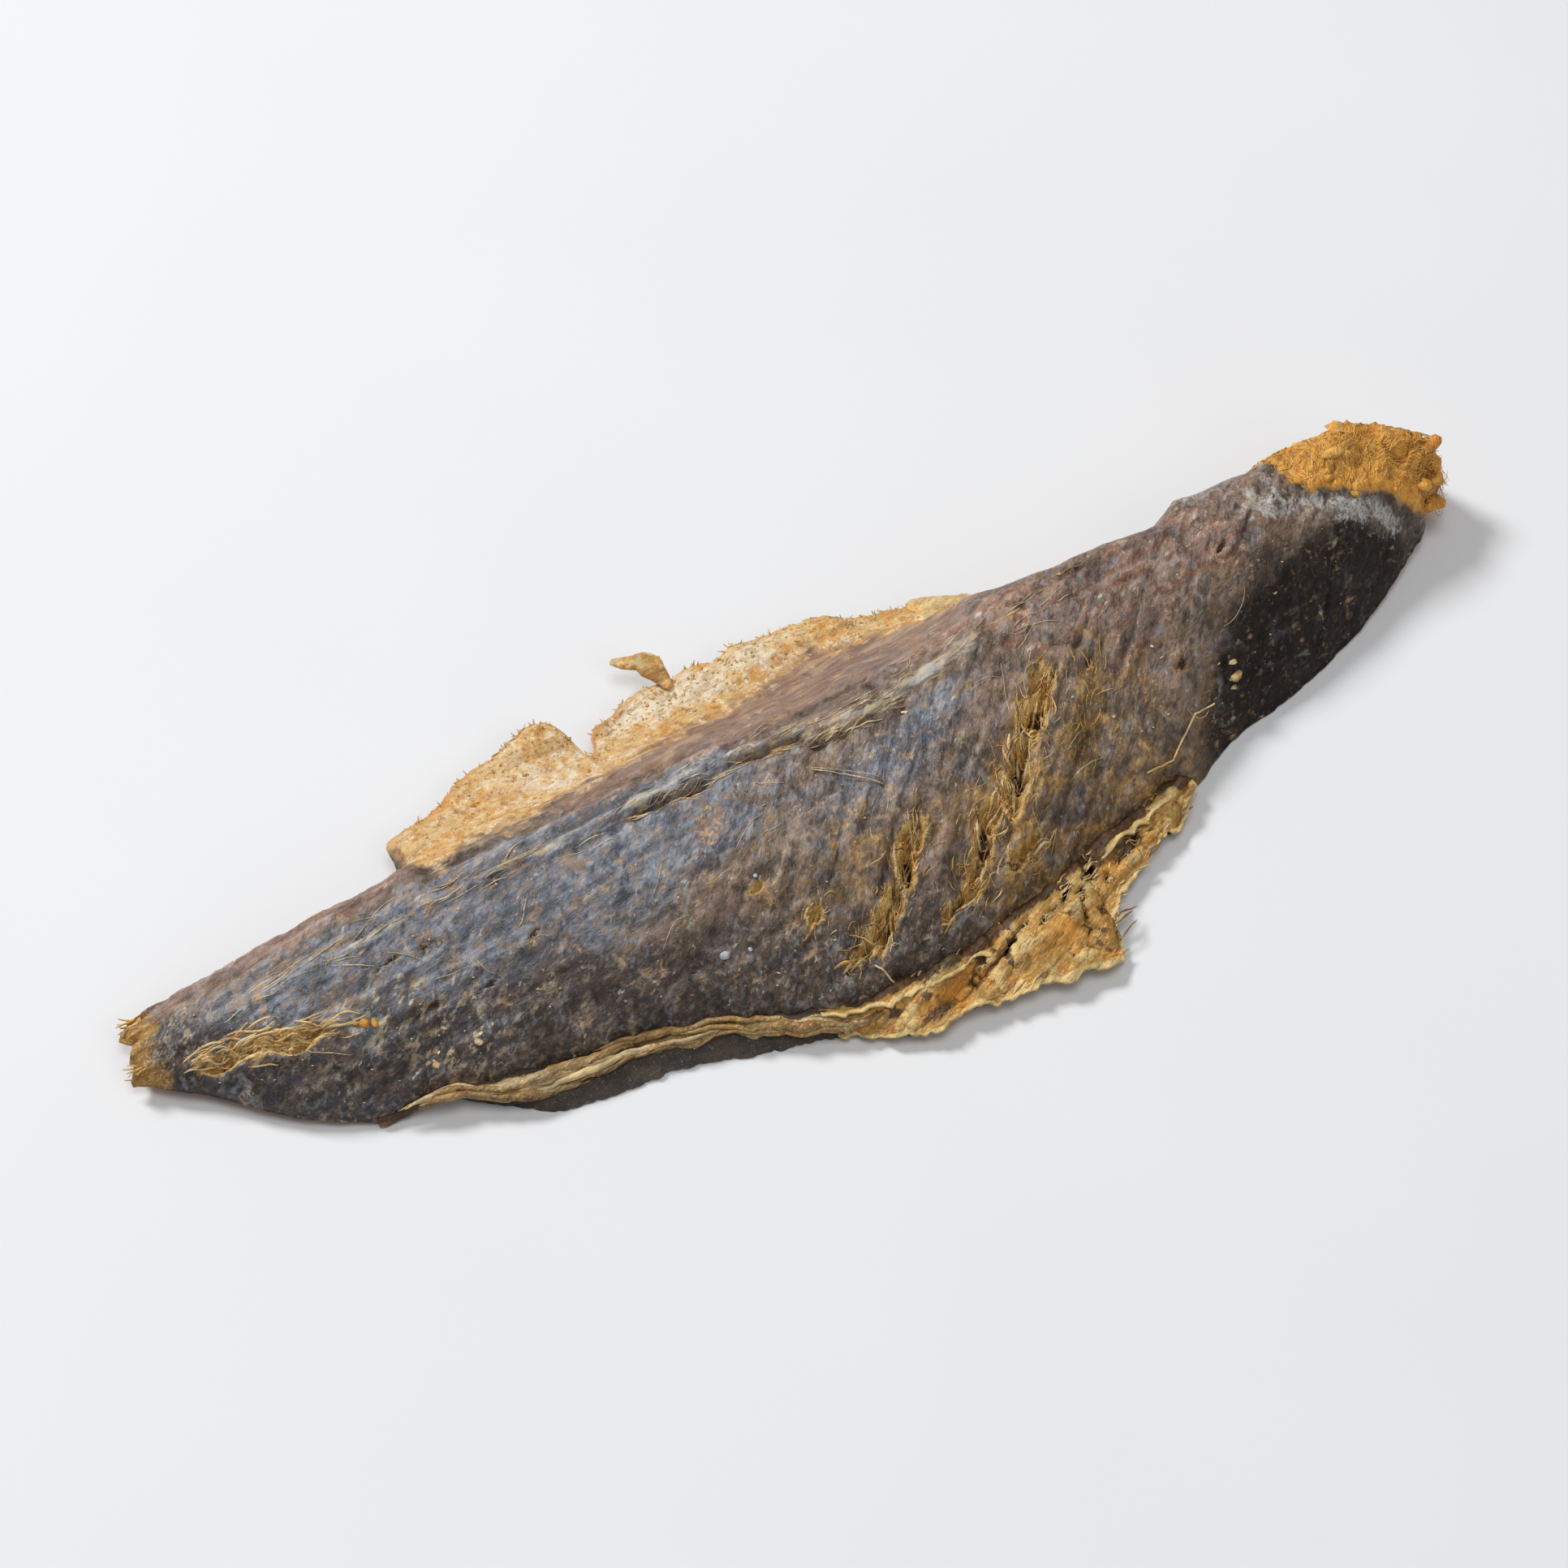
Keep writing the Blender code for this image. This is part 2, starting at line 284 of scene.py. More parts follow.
def relief(x, y):
    """Folds, wrinkles, strokes, creases and tears, added to the loft's height."""
    far, near = rim_far(x), edge_near(x)
    crest = curve(STATIONS, x, 3)
    inside = smooth(0.0, 2.2, far - y) * smooth(0.0, 1.6, y - near)
    ends = smooth(0.0, 6.0, x + HALF) * smooth(0.0, 6.0, HALF - x)
    z = 0.55 * fbm(x / 17.0, y / 11.0, 5, 2)
    # long wrinkles along the tail half and the far shoulder
    tail_side = 1.0 - smooth(-25.0, 10.0, x)
    far_side = smooth(-1.0, 2.5, y - crest)
    along = fbm(x * 0.085 + 0.02 * y, y * 0.95, 14, 3)
    z = z + (0.10 + 0.15 * tail_side + 0.15 * far_side) * along
    z = z + 0.09 * far_side * ridged(x * 0.06 + 0.1 * y, y * 1.05 - 0.12 * x, 16) * smooth(0, 3, far - y)
    z = z + 0.16 * tail_side * ridged(x * 0.05, y * 0.55 + 0.3 * fbm(x * 0.06, 3.0, 17, 2), 18) * smooth(0.5, 3.0, y - near)
    # slanting strokes over the flank, strongest towards the head end
    u, w = rotate(x, y, 46.0)
    strokes = fbm(u * 0.16, w * 0.95 + 0.25 * noise(x * 0.3, y * 0.3, 20), 21, 3)
    fine = noise(u * 0.35, w * 1.9, 24)
    flank = 1.0 - smooth(1.0, 6.0, y - crest)
    z = z + flank * (0.10 + 0.13 * smooth(-15.0, 25.0, x)) * strokes + flank * 0.04 * fine
    lumps = fbm(x * 0.20 + 0.5 * noise(x * 0.2, y * 0.2, 95), y * 0.26, 96, 3)
    z = z + 0.52 * lumps
    creased = ridged(u * 0.10 + 0.5 * fbm(x * 0.12, y * 0.12, 97, 2), w * 0.36, 98)
    z = z - 0.30 * flank * smooth(0.45, 0.95, creased) * smooth(-45.0, -10.0, x)
    # dents of the muscle under dry skin
    z = z - 0.42 * flank * smooth(0.1, 0.8, fbm(u * 0.07, w * 0.20, 27, 2))
    # grain of the thin flap
    gold = smooth(1.0, 6.0, y - skin_far(x)) * smooth(1.5, 6.0, far - skin_far(x))
    z = z + gold * (0.17 * fbm(x * 0.55, y * 0.55, 33, 3) + 0.09 * noise(x * 1.3, y * 1.3, 35))
    z = z + gold * (0.75 * np.sin((x + 44.0) / 6.8) * 0.6 + 0.5 * fbm(x / 9.0, 1.0, 36, 2)) * smooth(0.2, 1.0, (y - 6.0) / 13.0)
    z = z + 1.3 * spot(x, y, -27.0, 21.0, 5.5, 5.5) + 0.9 * spot(x, y, -45.0, 13.0, 4.0, 4.0)
    z = z + 0.9 * spot(x, y, -2.0, 20.0, 9.0, 4.0)
    # the crease: a few fine ridges side by side, with grooves between
    d, on, lines = crease_lines(x, y)
    z = z + on * (0.20 * lines - 0.03) * np.exp(-((d / 1.9) ** 2)) + 0.12 * on * np.exp(-((d / 0.5) ** 2))
    # the split
    dc = y - curve(CRACK, x) - 0.22 * fbm(x * 0.55, 1.0, 51, 2)
    oc = smooth(-28.5, -23.0, x) * (1.0 - smooth(6.0, 13.0, x)) * (0.72 + 0.4 * noise(x * 0.4, 5.0, 52))
    wide = 0.42 + 0.42 * spot(x, y, -2.8, -5.6, 1.6, 1.6) + 0.15 * noise(x * 0.5, 3.0, 53)
    z = z - oc * 1.05 * np.exp(-((dc / wide) ** 2)) + oc * 0.22 * np.exp(-(((dc - 1.1) / 0.4) ** 2))
    deep, _, lip = tear_field(x, y)
    ragged = 0.6 + 0.4 * ridged(u * 0.25, w * 1.7, 55)
    z = z - deep * ragged * 1.30 + lip
    fx, fy = x + 0.9 * fbm(x * 0.4, y * 0.4, 56, 2), y + 0.9 * fbm(x * 0.4, y * 0.4, 57, 2)
    for k, line in enumerate(FURROWS):
        away = to_line(fx, fy, line)
        size = (1.0, 0.9, 0.45)[k]
        z = z - size * 0.62 * np.exp(-((away / 1.9) ** 2)) + size * 0.30 * np.exp(-(((away - 2.9) / 1.0) ** 2))
        z = z + size * 0.30 * ridged(u * 0.22, w * 1.5, 58 + k) * np.exp(-((away / 2.4) ** 2))
    # slanting folds of loose skin over the belly side
    loose = smooth(-26.0, -12.0, x) * (1.0 - smooth(30.0, 42.0, x)) * smooth(3.0, 10.0, crest - y)
    fold = ridged(u * 0.045 + 0.2 * fbm(x * 0.1, y * 0.1, 91, 2), w * 0.30, 92)
    z = z + 0.34 * loose * fold + 0.16 * loose * ridged(u * 0.09, w * 0.62, 93)
    # flesh lumps at the head end
    head = head_flesh(x, y)
    z = z + head * (1.1 + 0.9 * fbm(x * 0.20, y * 0.26, 61, 3) + 0.16 * fbm(x * 0.8, y * 0.9, 63, 2) + 1.3 * spot(x, y, 73.0, 5.6, 6.0, 3.5))
    # small knob on the outline near the head end
    z = z + 1.1 * spot(x, y, 51.8, 8.8, 1.7, 1.7)
    return z * inside * mix(0.4, 1.0, ends)


def crease_lines(x, y):
    """(distance from the crease, how marked it is, the fine ridges along it)."""
    d = y - curve(CREASE, x) - 0.5 * fbm(x * 0.12, 4.0, 38, 3)
    on = smooth(-84.0, -76.0, x) * (1.0 - smooth(32.0, 44.0, x)) * (0.75 + 0.35 * noise(x * 0.16, 8.0, 39))
    lines = ridged(x * 0.07 + 0.2 * fbm(x * 0.2, y * 0.3, 40, 2), d * 0.95 + 0.6 * fbm(x * 0.05, 2.0, 45, 2), 42)
    return d, np.clip(on, 0, 1), lines


def soften(a, n):
    """Running mean of a grid over n cells each way."""
    for axis in (0, 1):
        wide = [(0, 0), (0, 0)]
        wide[axis] = (n // 2 + 1, n - 1 - n // 2)
        total = np.cumsum(np.pad(a, wide, mode="edge"), axis=axis)
        a = (np.take(total, range(n, total.shape[axis]), axis) - np.take(total, range(total.shape[axis] - n), axis)) / n
    return a


def head_flesh(x, y):
    edge = -0.6 - 3.4 * smooth(66.0, 80.0, x) + 1.7 * fbm(x * 0.30, y * 0.2, 65, 3)
    start = 61.0 + 0.5 * (9.0 - y) + 2.6 * fbm(y * 0.30, x * 0.1, 66, 3)
    return smooth(-0.5, 0.9, y - edge) * smooth(0.0, 1.8, x - start)


def top_of(x, y):
    return smooth_top(x, y) + relief(x, y)


# ------------------------------------------------------------------ mesh making
def new_object(name, verts, faces, material, smooth_shade=True, attributes=None):
    """A mesh object from points in loft millimetres."""
    verts = np.asarray(verts, float).copy()
    verts[:, 2] = np.maximum(verts[:, 2], 0.02)
    verts[:, 1] += SHIFT_Y
    mesh = bpy.data.meshes.new(name)
    mesh.from_pydata((verts * MM).tolist(), [], faces)
    mesh.validate()
    mesh.update()
    for key, values in (attributes or {}).items():
        layer = mesh.attributes.new(key, "FLOAT", "POINT")
        layer.data.foreach_set("value", np.asarray(values, np.float32).ravel())
    if smooth_shade:
        mesh.shade_smooth()
    obj = bpy.data.objects.new(name, mesh)
    bpy.context.scene.collection.objects.link(obj)
    mesh.materials.append(material)
    return obj


def slab(top, bottom):
    """A closed surface: a fine grid on top, one half as fine below, sharing the fine grid's rim."""
    n, m = top.shape[0] - 1, top.shape[1] - 1
    index = np.arange((n + 1) * (m + 1)).reshape(n + 1, m + 1)
    verts = [top.reshape(-1, 3)]
    faces = []
    a, b, c, d = index[:-1, :-1], index[1:, :-1], index[1:, 1:], index[:-1, 1:]
    faces.extend(np.stack([a, d, c, b], -1).reshape(-1, 4)[:, ::-1].tolist())
    n2, m2 = n // 2, m // 2
    low = np.full((n2 + 1, m2 + 1), -1)
    low[1:-1, 1:-1] = (n + 1) * (m + 1) + np.arange((n2 - 1) * (m2 - 1)).reshape(n2 - 1, m2 - 1)
    verts.append(bottom[1:-1, 1:-1].reshape(-1, 3))
    for i in (0, n2):
        low[i, :] = index[2 * i, ::2]
    for j in (0, m2):
        low[:, j] = index[::2, 2 * j]
    for i in range(n2):
        for j in range(m2):
            ring = [low[i, j]]
            if j == 0:
                ring.append(index[2 * i + 1, 0])
            ring.append(low[i + 1, j])
            if i == n2 - 1:
                ring.append(index[n, 2 * j + 1])
            ring.append(low[i + 1, j + 1])
            if j == m2 - 1:
                ring.append(index[2 * i + 1, m])
            ring.append(low[i, j + 1])
            if i == 0:
                ring.append(index[0, 2 * j + 1])
            faces.append([int(v) for v in ring])
    return np.concatenate(verts), faces


def sheet(grid, thick, keep):
    """A closed thin sheet over a grid of points, with the cells outside keep left out."""
    n, m = grid.shape[0] - 1, grid.shape[1] - 1
    du, dv = np.gradient(grid, axis=0), np.gradient(grid, axis=1)
    normal = np.cross(du, dv)
    normal /= np.maximum(np.linalg.norm(normal, axis=-1, keepdims=True), 1e-9)
    normal = np.where(normal[..., 2:3] < 0, -normal, normal)
    up = grid + normal * thick[..., None] * 0.5
    down = grid - normal * thick[..., None] * 0.5
    index = np.arange((n + 1) * (m + 1)).reshape(n + 1, m + 1)
    off = (n + 1) * (m + 1)
    flip = np.cross(du, dv)[..., 2].mean() < 0
    faces = []
    kept = np.zeros((n + 2, m + 2), bool)
    kept[1:-1, 1:-1] = keep
    for i in range(n):
        for j in range(m):
            if not keep[i, j]:
                continue
            a, b, c, d = index[i, j], index[i + 1, j], index[i + 1, j + 1], index[i, j + 1]
            rings = [(a, b, c, d), (d + off, c + off, b + off, a + off)]
            if not kept[i, j + 1]:
                rings.append((a, a + off, d + off, d))[0] if False else rings.append((d, d + off, a + off, a))
            if not kept[i + 2, j + 1]:
                rings.append((b, b + off, c + off, c))
            if not kept[i + 1, j]:
                rings.append((a, a + off, b + off, b))
            if not kept[i + 1, j + 2]:
                rings.append((c, c + off, d + off, d))
            for r in rings:
                faces.append([int(v) for v in (r[::-1] if flip else r)])
    verts = np.concatenate([up.reshape(-1, 3), down.reshape(-1, 3)])
    used = np.zeros(len(verts), bool)
    for f in faces:
        used[f] = True
    number = np.cumsum(used) - 1
    faces = [[int(number[v]) for v in f] for f in faces]
    return verts[used], faces, used


def tubes(paths, radii, sides=6):
    """Closed tapering tubes along paths, as one mesh."""
    verts, faces = [], []
    base = 0
    for path, radius in zip(paths, radii):
        p = np.asarray(path, float)
        n = len(p)
        r = np.broadcast_to(np.asarray(radius, float), (n,))
        tangent = np.gradient(p, axis=0)
        tangent /= np.maximum(np.linalg.norm(tangent, axis=1, keepdims=True), 1e-9)
        ref = np.array([0.0, 0.0, 1.0])
        side = np.cross(tangent, ref)
        weak = np.linalg.norm(side, axis=1) < 1e-3
        side[weak] = np.array([1.0, 0.0, 0.0])
        side /= np.linalg.norm(side, axis=1, keepdims=True)
        up = np.cross(side, tangent)
        for i in range(n):
            for k in range(sides):
                angle = 2 * math.pi * k / sides
                verts.append(p[i] + r[i] * (math.cos(angle) * side[i] + math.sin(angle) * up[i]))
        verts.append(p[0] - tangent[0] * r[0] * 0.6)
        verts.append(p[-1] + tangent[-1] * r[-1] * 0.6)
        for i in range(n - 1):
            for k in range(sides):
                a, b = base + i * sides + k, base + i * sides + (k + 1) % sides
                faces.append([a, a + sides, b + sides, b])
        first, last = base + n * sides, base + n * sides + 1
        for k in range(sides):
            faces.append([base + k, base + (k + 1) % sides, first])
            faces.append([base + (n - 1) * sides + (k + 1) % sides, base + (n - 1) * sides + k, last])
        base += n * sides + 2
    return np.array(verts), faces


ICO_V, ICO_F = None, None


def pebble(rng, size, flat=0.5, rough=0.25):
    """An irregular crumb about the origin: a displaced icosphere."""
    global ICO_V, ICO_F
    if ICO_V is None:
        import bmesh
        bm = bmesh.new()
        bmesh.ops.create_icosphere(bm, subdivisions=2, radius=1.0)
        ICO_V = np.array([v.co[:] for v in bm.verts])
        ICO_F = [[v.index for v in f.verts] for f in bm.faces]
        bm.free()
    seed = int(rng.integers(1, 10**6))
    v = ICO_V.copy()
    bump = 1.0 + rough * noise(v[:, 0] * 1.3 + seed % 97, v[:, 1] * 1.3 + v[:, 2] * 0.9 + seed % 53, seed) \
        + 0.5 * rough * noise(v[:, 1] * 2.7 + seed % 31, v[:, 2] * 2.7 - v[:, 0], seed + 5)
    v = v * bump[:, None] * np.asarray(size) * np.array([1.0, 1.0, flat])
    turn = rng.uniform(0, 2 * math.pi)
    c, s = math.cos(turn), math.sin(turn)
    tilt = rng.normal(0, 0.25)
    v = v @ np.array([[c, s, 0], [-s, c, 0], [0, 0, 1]])
    ct, st = math.cos(tilt), math.sin(tilt)
    return v @ np.array([[1, 0, 0], [0, ct, st], [0, -st, ct]]), ICO_F


# ------------------------------------------------------------------ materials
def srgb(r, g, b):
    out = []
    for v in (r, g, b):
        v = v / 255.0
        out.append(round(v / 12.92 if v <= 0.04045 else ((v + 0.055) / 1.055) ** 2.4, 4))
    return (*out, 1.0)


BLUE_GREY = srgb(102, 111, 127)
STEEL = srgb(144, 155, 170)
SLATE = srgb(58, 58, 64)
VIOLET = srgb(112, 94, 82)
PINK_BROWN = srgb(154, 131, 118)
RED_BROWN = srgb(132, 88, 62)
OCHRE = srgb(146, 112, 66)
OLIVE = srgb(124, 102, 56)
UMBER = srgb(70, 56, 47)
BLACK = srgb(34, 29, 28)
SILVER = srgb(190, 190, 188)
CREAM = srgb(214, 198, 162)
GOLD = srgb(212, 172, 108)
GOLD_DEEP = srgb(196, 134, 62)
GOLD_PALE = srgb(228, 212, 184)
FLAP_BROWN = srgb(154, 116, 90)
FLESH = srgb(184, 136, 56)
FLESH_PALE = srgb(206, 176, 116)
PIT = srgb(44, 26, 14)
ORANGE = srgb(214, 150, 50)
ORANGE_DEEP = srgb(172, 104, 30)


class Nodes:
    """Short names for building one material's node tree."""

    def __init__(self, name, roughness=0.5):
        self.mat = bpy.data.materials.new(name)
        self.mat.use_nodes = True
        self.tree = self.mat.node_tree
        self.shader = self.tree.nodes["Principled BSDF"]
        self.shader.inputs["Roughness"].default_value = roughness
        self.place = self.node("ShaderNodeTexCoord").outputs["Object"]

    def node(self, kind, **settings):
        n = self.tree.nodes.new(kind)
        for key, value in settings.items():
            setattr(n, key, value)
        return n

    def link(self, value, socket):
        if hasattr(value, "is_output"):
            self.tree.links.new(value, socket)
        else:
            socket.default_value = value

    def attr(self, name):
        return self.node("ShaderNodeAttribute", attribute_name=name).outputs["Fac"]

    def where(self, scale=(1, 1, 1), turn=0.0):
        """Object coordinates in millimetres, turned about Z and scaled."""
        m = self.node("ShaderNodeMapping")
        m.inputs["Rotation"].default_value = (0, 0, math.radians(-turn))
        m.inputs["Scale"].default_value = (1000.0, 1000.0, 1000.0)
        self.link(self.place, m.inputs["Vector"])
        s = self.node("ShaderNodeMapping")
        s.inputs["Scale"].default_value = scale
        self.link(m.outputs[0], s.inputs["Vector"])
        return s.outputs[0]

    def noise(self, scale=1.0, detail=3.0, rough=0.55, stretch=(1, 1, 1), turn=0.0, distort=0.0):
        n = self.node("ShaderNodeTexNoise")
        self.link(self.where(stretch, turn), n.inputs["Vector"])
        n.inputs["Scale"].default_value = scale
        n.inputs["Detail"].default_value = detail
        n.inputs["Roughness"].default_value = rough
        n.inputs["Distortion"].default_value = distort
        r = self.node("ShaderNodeMapRange")
        self.link(n.outputs["Fac"], r.inputs["Value"])
        r.inputs["From Min"].default_value = 0.28
        r.inputs["From Max"].default_value = 0.72
        return r.outputs[0]

    def cells(self, scale=1.0, stretch=(1, 1, 1), turn=0.0, feature="F1", randomness=1.0):
        n = self.node("ShaderNodeTexVoronoi", feature=feature)
        self.link(self.where(stretch, turn), n.inputs["Vector"])
        n.inputs["Scale"].default_value = scale
        n.inputs["Randomness"].default_value = randomness
        return n.outputs["Distance"]

    def math(self, op, a, b=0.0, clamp=False):
        n = self.node("ShaderNodeMath", operation=op, use_clamp=clamp)
        self.link(a, n.inputs[0])
        self.link(b, n.inputs[1])
        return n.outputs[0]

    def step(self, value, lo, hi, a=0.0, b=1.0):
        n = self.node("ShaderNodeMapRange", interpolation_type="SMOOTHSTEP")
        self.link(value, n.inputs["Value"])
        for key, v in (("From Min", lo), ("From Max", hi), ("To Min", a), ("To Max", b)):
            n.inputs[key].default_value = v
        return n.outputs[0]

    def mix(self, fac, a, b, mode="MIX"):
        n = self.node("ShaderNodeMix", data_type="RGBA", blend_type=mode)
        self.link(fac, n.inputs[0])
        self.link(a, n.inputs[6])
        self.link(b, n.inputs[7])
        return n.outputs[2]

    def fmix(self, fac, a, b):
        n = self.node("ShaderNodeMix", data_type="FLOAT")
        self.link(fac, n.inputs[0])
        self.link(a, n.inputs[2])
        self.link(b, n.inputs[3])
        return n.outputs[0]

    def broken(self, mask, by, amount=1.0, lo=0.28, hi=0.72):
        """A mask whose limits are broken up by a noise."""
        shifted = self.math("ADD", mask, self.math("MULTIPLY", self.math("SUBTRACT", by, 0.5), amount))
        return self.step(shifted, lo, hi)

    def mean(self, *values):
        total = values[0]
        for v in values[1:]:
            total = self.math("ADD", total, v)
        return self.math("MULTIPLY", total, 1.0 / len(values))

    def part(self, value, lo, hi, share):
        """share of the way in where a noise lies above lo."""
        return self.math("MULTIPLY", self.step(value, lo, hi), share)

    def bump(self, height, strength, distance, chain=None):
        n = self.node("ShaderNodeBump")
        n.inputs["Strength"].default_value = strength
        n.inputs["Distance"].default_value = distance
        self.link(height, n.inputs["Height"])
        if chain is not None:
            self.link(chain, n.inputs["Normal"])
        return n.outputs[0]

    def finish(self, colour, roughness=None, normal=None, soft=0.0):
        self.link(colour, self.shader.inputs["Base Color"])
        if roughness is not None:
            self.link(roughness, self.shader.inputs["Roughness"])
        if normal is not None:
            self.link(normal, self.shader.inputs["Normal"])
        if soft:
            self.shader.inputs["Subsurface Weight"].default_value = soft
            self.shader.inputs["Subsurface Scale"].default_value = 0.0015
            self.shader.inputs["Subsurface Radius"].default_value = (1.0, 0.6, 0.3)
        return self.mat


def skin_material():
    n = Nodes("smoked_skin", 0.45)
    big = n.noise(0.065, 3, 0.55)                                   # 15 mm drifts of tone
    blotch = n.noise(0.21, 4, 0.62, distort=1.1)                    # patches of 5 mm
    other = n.noise(0.27, 4, 0.62, distort=0.8, stretch=(0.8, 1.2, 1.0), turn=30)
    mott = n.noise(0.55, 4, 0.62, distort=0.9)                      # 1 to 2 mm
    slant = n.attr("m_slant")
    stroke = n.fmix(slant, n.noise(0.95, 4, 0.66, stretch=(0.17, 1.15, 0.8), turn=8, distort=0.6),
                    n.noise(0.95, 4, 0.66, stretch=(0.42, 1.10, 0.8), turn=44, distort=1.2))
    stroke2 = n.fmix(slant, n.noise(2.4, 3, 0.65, stretch=(0.40, 1.0, 0.8), turn=16, distort=0.6),
                     n.noise(2.4, 3, 0.65, stretch=(0.45, 1.1, 0.8), turn=52, distort=0.6))
    along = n.noise(0.85, 5, 0.62, stretch=(0.09, 1.25, 0.9), turn=7, distort=0.25)
    grain = n.noise(3.0, 3, 0.7)
    # violet brown, with pink brown, ochre and umber
    c = n.mix(n.step(n.mean(blotch, stroke), 0.34, 0.62), VIOLET, PINK_BROWN)
    c = n.mix(n.part(n.mean(other, other, stroke), 0.36, 0.72, 0.72), c, srgb(130, 106, 76))
    c = n.mix(n.part(n.mean(mott, other, blotch), 0.48, 0.70, 0.65), c, UMBER)
    # blue grey back
    blue = n.broken(n.attr("m_blue"), n.mean(blotch, blotch, mott), 1.3, 0.15, 0.85)
    bluec = n.mix(n.step(n.mean(stroke, mott), 0.32, 0.66), BLUE_GREY, STEEL)
    bluec = n.mix(n.part(n.mean(mott, blotch), 0.48, 0.70, 0.75), bluec, SLATE)
    bluec = n.mix(n.part(n.mean(other, mott, stroke2), 0.48, 0.66, 0.72), bluec, srgb(142, 116, 88))
    c = n.mix(n.math("MULTIPLY", blue, 0.92), c, n.mix(1.0, bluec, (0.94, 0.93, 0.93, 1.0), "MULTIPLY"))
    # pink brown and red brown along the far shoulder and the tail rim
    pink = n.broken(n.attr("m_pink"), n.mean(along, blotch), 1.3, 0.22, 0.80)
    pinkc = n.mix(n.step(along, 0.25, 0.75), PINK_BROWN, RED_BROWN)
    pinkc = n.mix(n.part(n.mean(mott, stroke2), 0.46, 0.70, 0.70), pinkc, srgb(136, 124, 124))
    c = n.mix(n.math("MULTIPLY", pink, 0.88), c, pinkc)
    # olive gold, where oil shows through
    olive = n.broken(n.attr("m_olive"), n.mean(stroke, other, other, blotch), 1.7, 0.20, 0.90)
    c = n.mix(n.math("MULTIPLY", olive, 0.78), c, n.mix(n.step(n.mean(stroke2, mott), 0.35, 0.65), srgb(120, 92, 46), srgb(166, 128, 62)))
    # dark brown grey towards the -Y edge: partly the skin's own colour, partly painted shade where the flank rolls
    # under
    umber = n.broken(n.attr("m_umber_and_shade"), n.mean(mott, blotch), 1.2, 0.22, 0.80)
    umber_and_shade_colour = n.mix(n.step(stroke, 0.3, 0.75), UMBER, SLATE)
    umber_and_shade_colour = n.mix(n.part(n.mean(mott, stroke2), 0.50, 0.72, 0.7), umber_and_shade_colour, srgb(122, 106, 92))
    c = n.mix(n.math("MULTIPLY", umber, 0.90), c, umber_and_shade_colour)
    # strokes and mottles of light and dark over every hue
    shade = n.step(n.mean(stroke, stroke2, mott), 0.24, 0.76, 0.66, 1.32)
    c = n.mix(1.0, c, shade, "MULTIPLY")
    drift = n.step(n.mean(blotch, other), 0.28, 0.72, 0.56, 1.28)
    c = n.mix(1.0, c, drift, "MULTIPLY")
    c = n.mix(n.part(n.mean(big, blotch), 0.52, 0.66, 0.42), c, n.mix(1.0, c, (0.50, 0.45, 0.42, 1.0), "MULTIPLY"))
    # almost black towards the head end: the skin's own dark colour, deepened with painted shade on the slope facing
    # away from the light
    black = n.broken(n.attr("m_black_and_shade"), n.mean(mott, stroke, blotch), 0.9, 0.10, 0.90)
    black_and_shade_colour = n.mix(n.part(n.mean(mott, stroke2), 0.50, 0.84, 0.40), BLACK, srgb(58, 50, 46))
    c = n.mix(n.math("MULTIPLY", black, 0.97), c, black_and_shade_colour)
    calm = n.math("SUBTRACT", 1.0, n.math("MULTIPLY", black, 0.75))
    # flecks of other hues, silver and cream; the silver ones are partly silvery scales, partly painted glints
    c = n.mix(n.math("MULTIPLY", n.part(n.mean(n.noise(1.3, 3, 0.6, stretch=(0.42, 1.1, 1), turn=60), n.noise(0.30, 3, 0.6)), 0.56, 0.80, 0.45), calm), c, srgb(146, 152, 160))
    c = n.mix(n.math("MULTIPLY", n.part(n.mean(n.noise(1.2, 3, 0.6, stretch=(0.42, 1.1, 1), turn=36), n.noise(0.25, 3, 0.6)), 0.56, 0.80, 0.32), calm), c, srgb(128, 100, 78))
    c = n.mix(n.part(n.noise(1.1, 4, 0.65, stretch=(0.40, 1.2, 1), turn=48), 0.60, 0.90, 0.60), c, srgb(52, 42, 36))
    # silver flecks: partly silvery scales, partly painted glints
    fleck_glint = n.math("MULTIPLY", n.step(n.noise(1.5, 2, 0.5, stretch=(0.6, 1.15, 1), turn=40), 0.78, 0.98), n.step(other, 0.46, 0.70))
    c = n.mix(n.math("MULTIPLY", n.math("MULTIPLY", fleck_glint, calm), 0.65), c, SILVER)
    cream = n.math("MULTIPLY", n.math("MULTIPLY", n.step(n.noise(0.8, 3, 0.6, stretch=(0.6, 1.3, 1), turn=30), 0.58, 0.86), n.attr("m_cream")), calm)
    c = n.mix(n.math("MULTIPLY", cream, 0.80), c, CREAM)
    silver = n.broken(n.attr("m_silver"), n.mean(mott, stroke2, blotch), 1.9, 0.30, 0.85)
    c = n.mix(n.math("MULTIPLY", silver, 0.80), c, n.mix(n.step(n.mean(grain, mott), 0.3, 0.6), srgb(118, 112, 100), SILVER))
    # ridges painted pale and grooves painted dark, following the mesh's relief: painted highlight and painted shade
    ridge_highlight, valley_shade = n.attr("m_ridge_highlight"), n.attr("m_valley_shade")
    c = n.mix(n.math("MULTIPLY", ridge_highlight, 0.62), c, n.mix(1.0, c, (1.62, 1.58, 1.52, 1.0), "MULTIPLY"))
    c = n.mix(n.math("MULTIPLY", valley_shade, 0.72), c, n.mix(1.0, c, (0.46, 0.40, 0.34, 1.0), "MULTIPLY"))
    # the crease that catches the light
    crease = n.broken(n.attr("m_crease"), n.noise(0.7, 3, 0.6, stretch=(0.35, 1.2, 1)), 0.9, 0.25, 0.90)
    c = n.mix(n.math("MULTIPLY", crease, 0.86), c, n.mix(n.step(n.mean(along, mott), 0.3, 0.7), SILVER, CREAM))
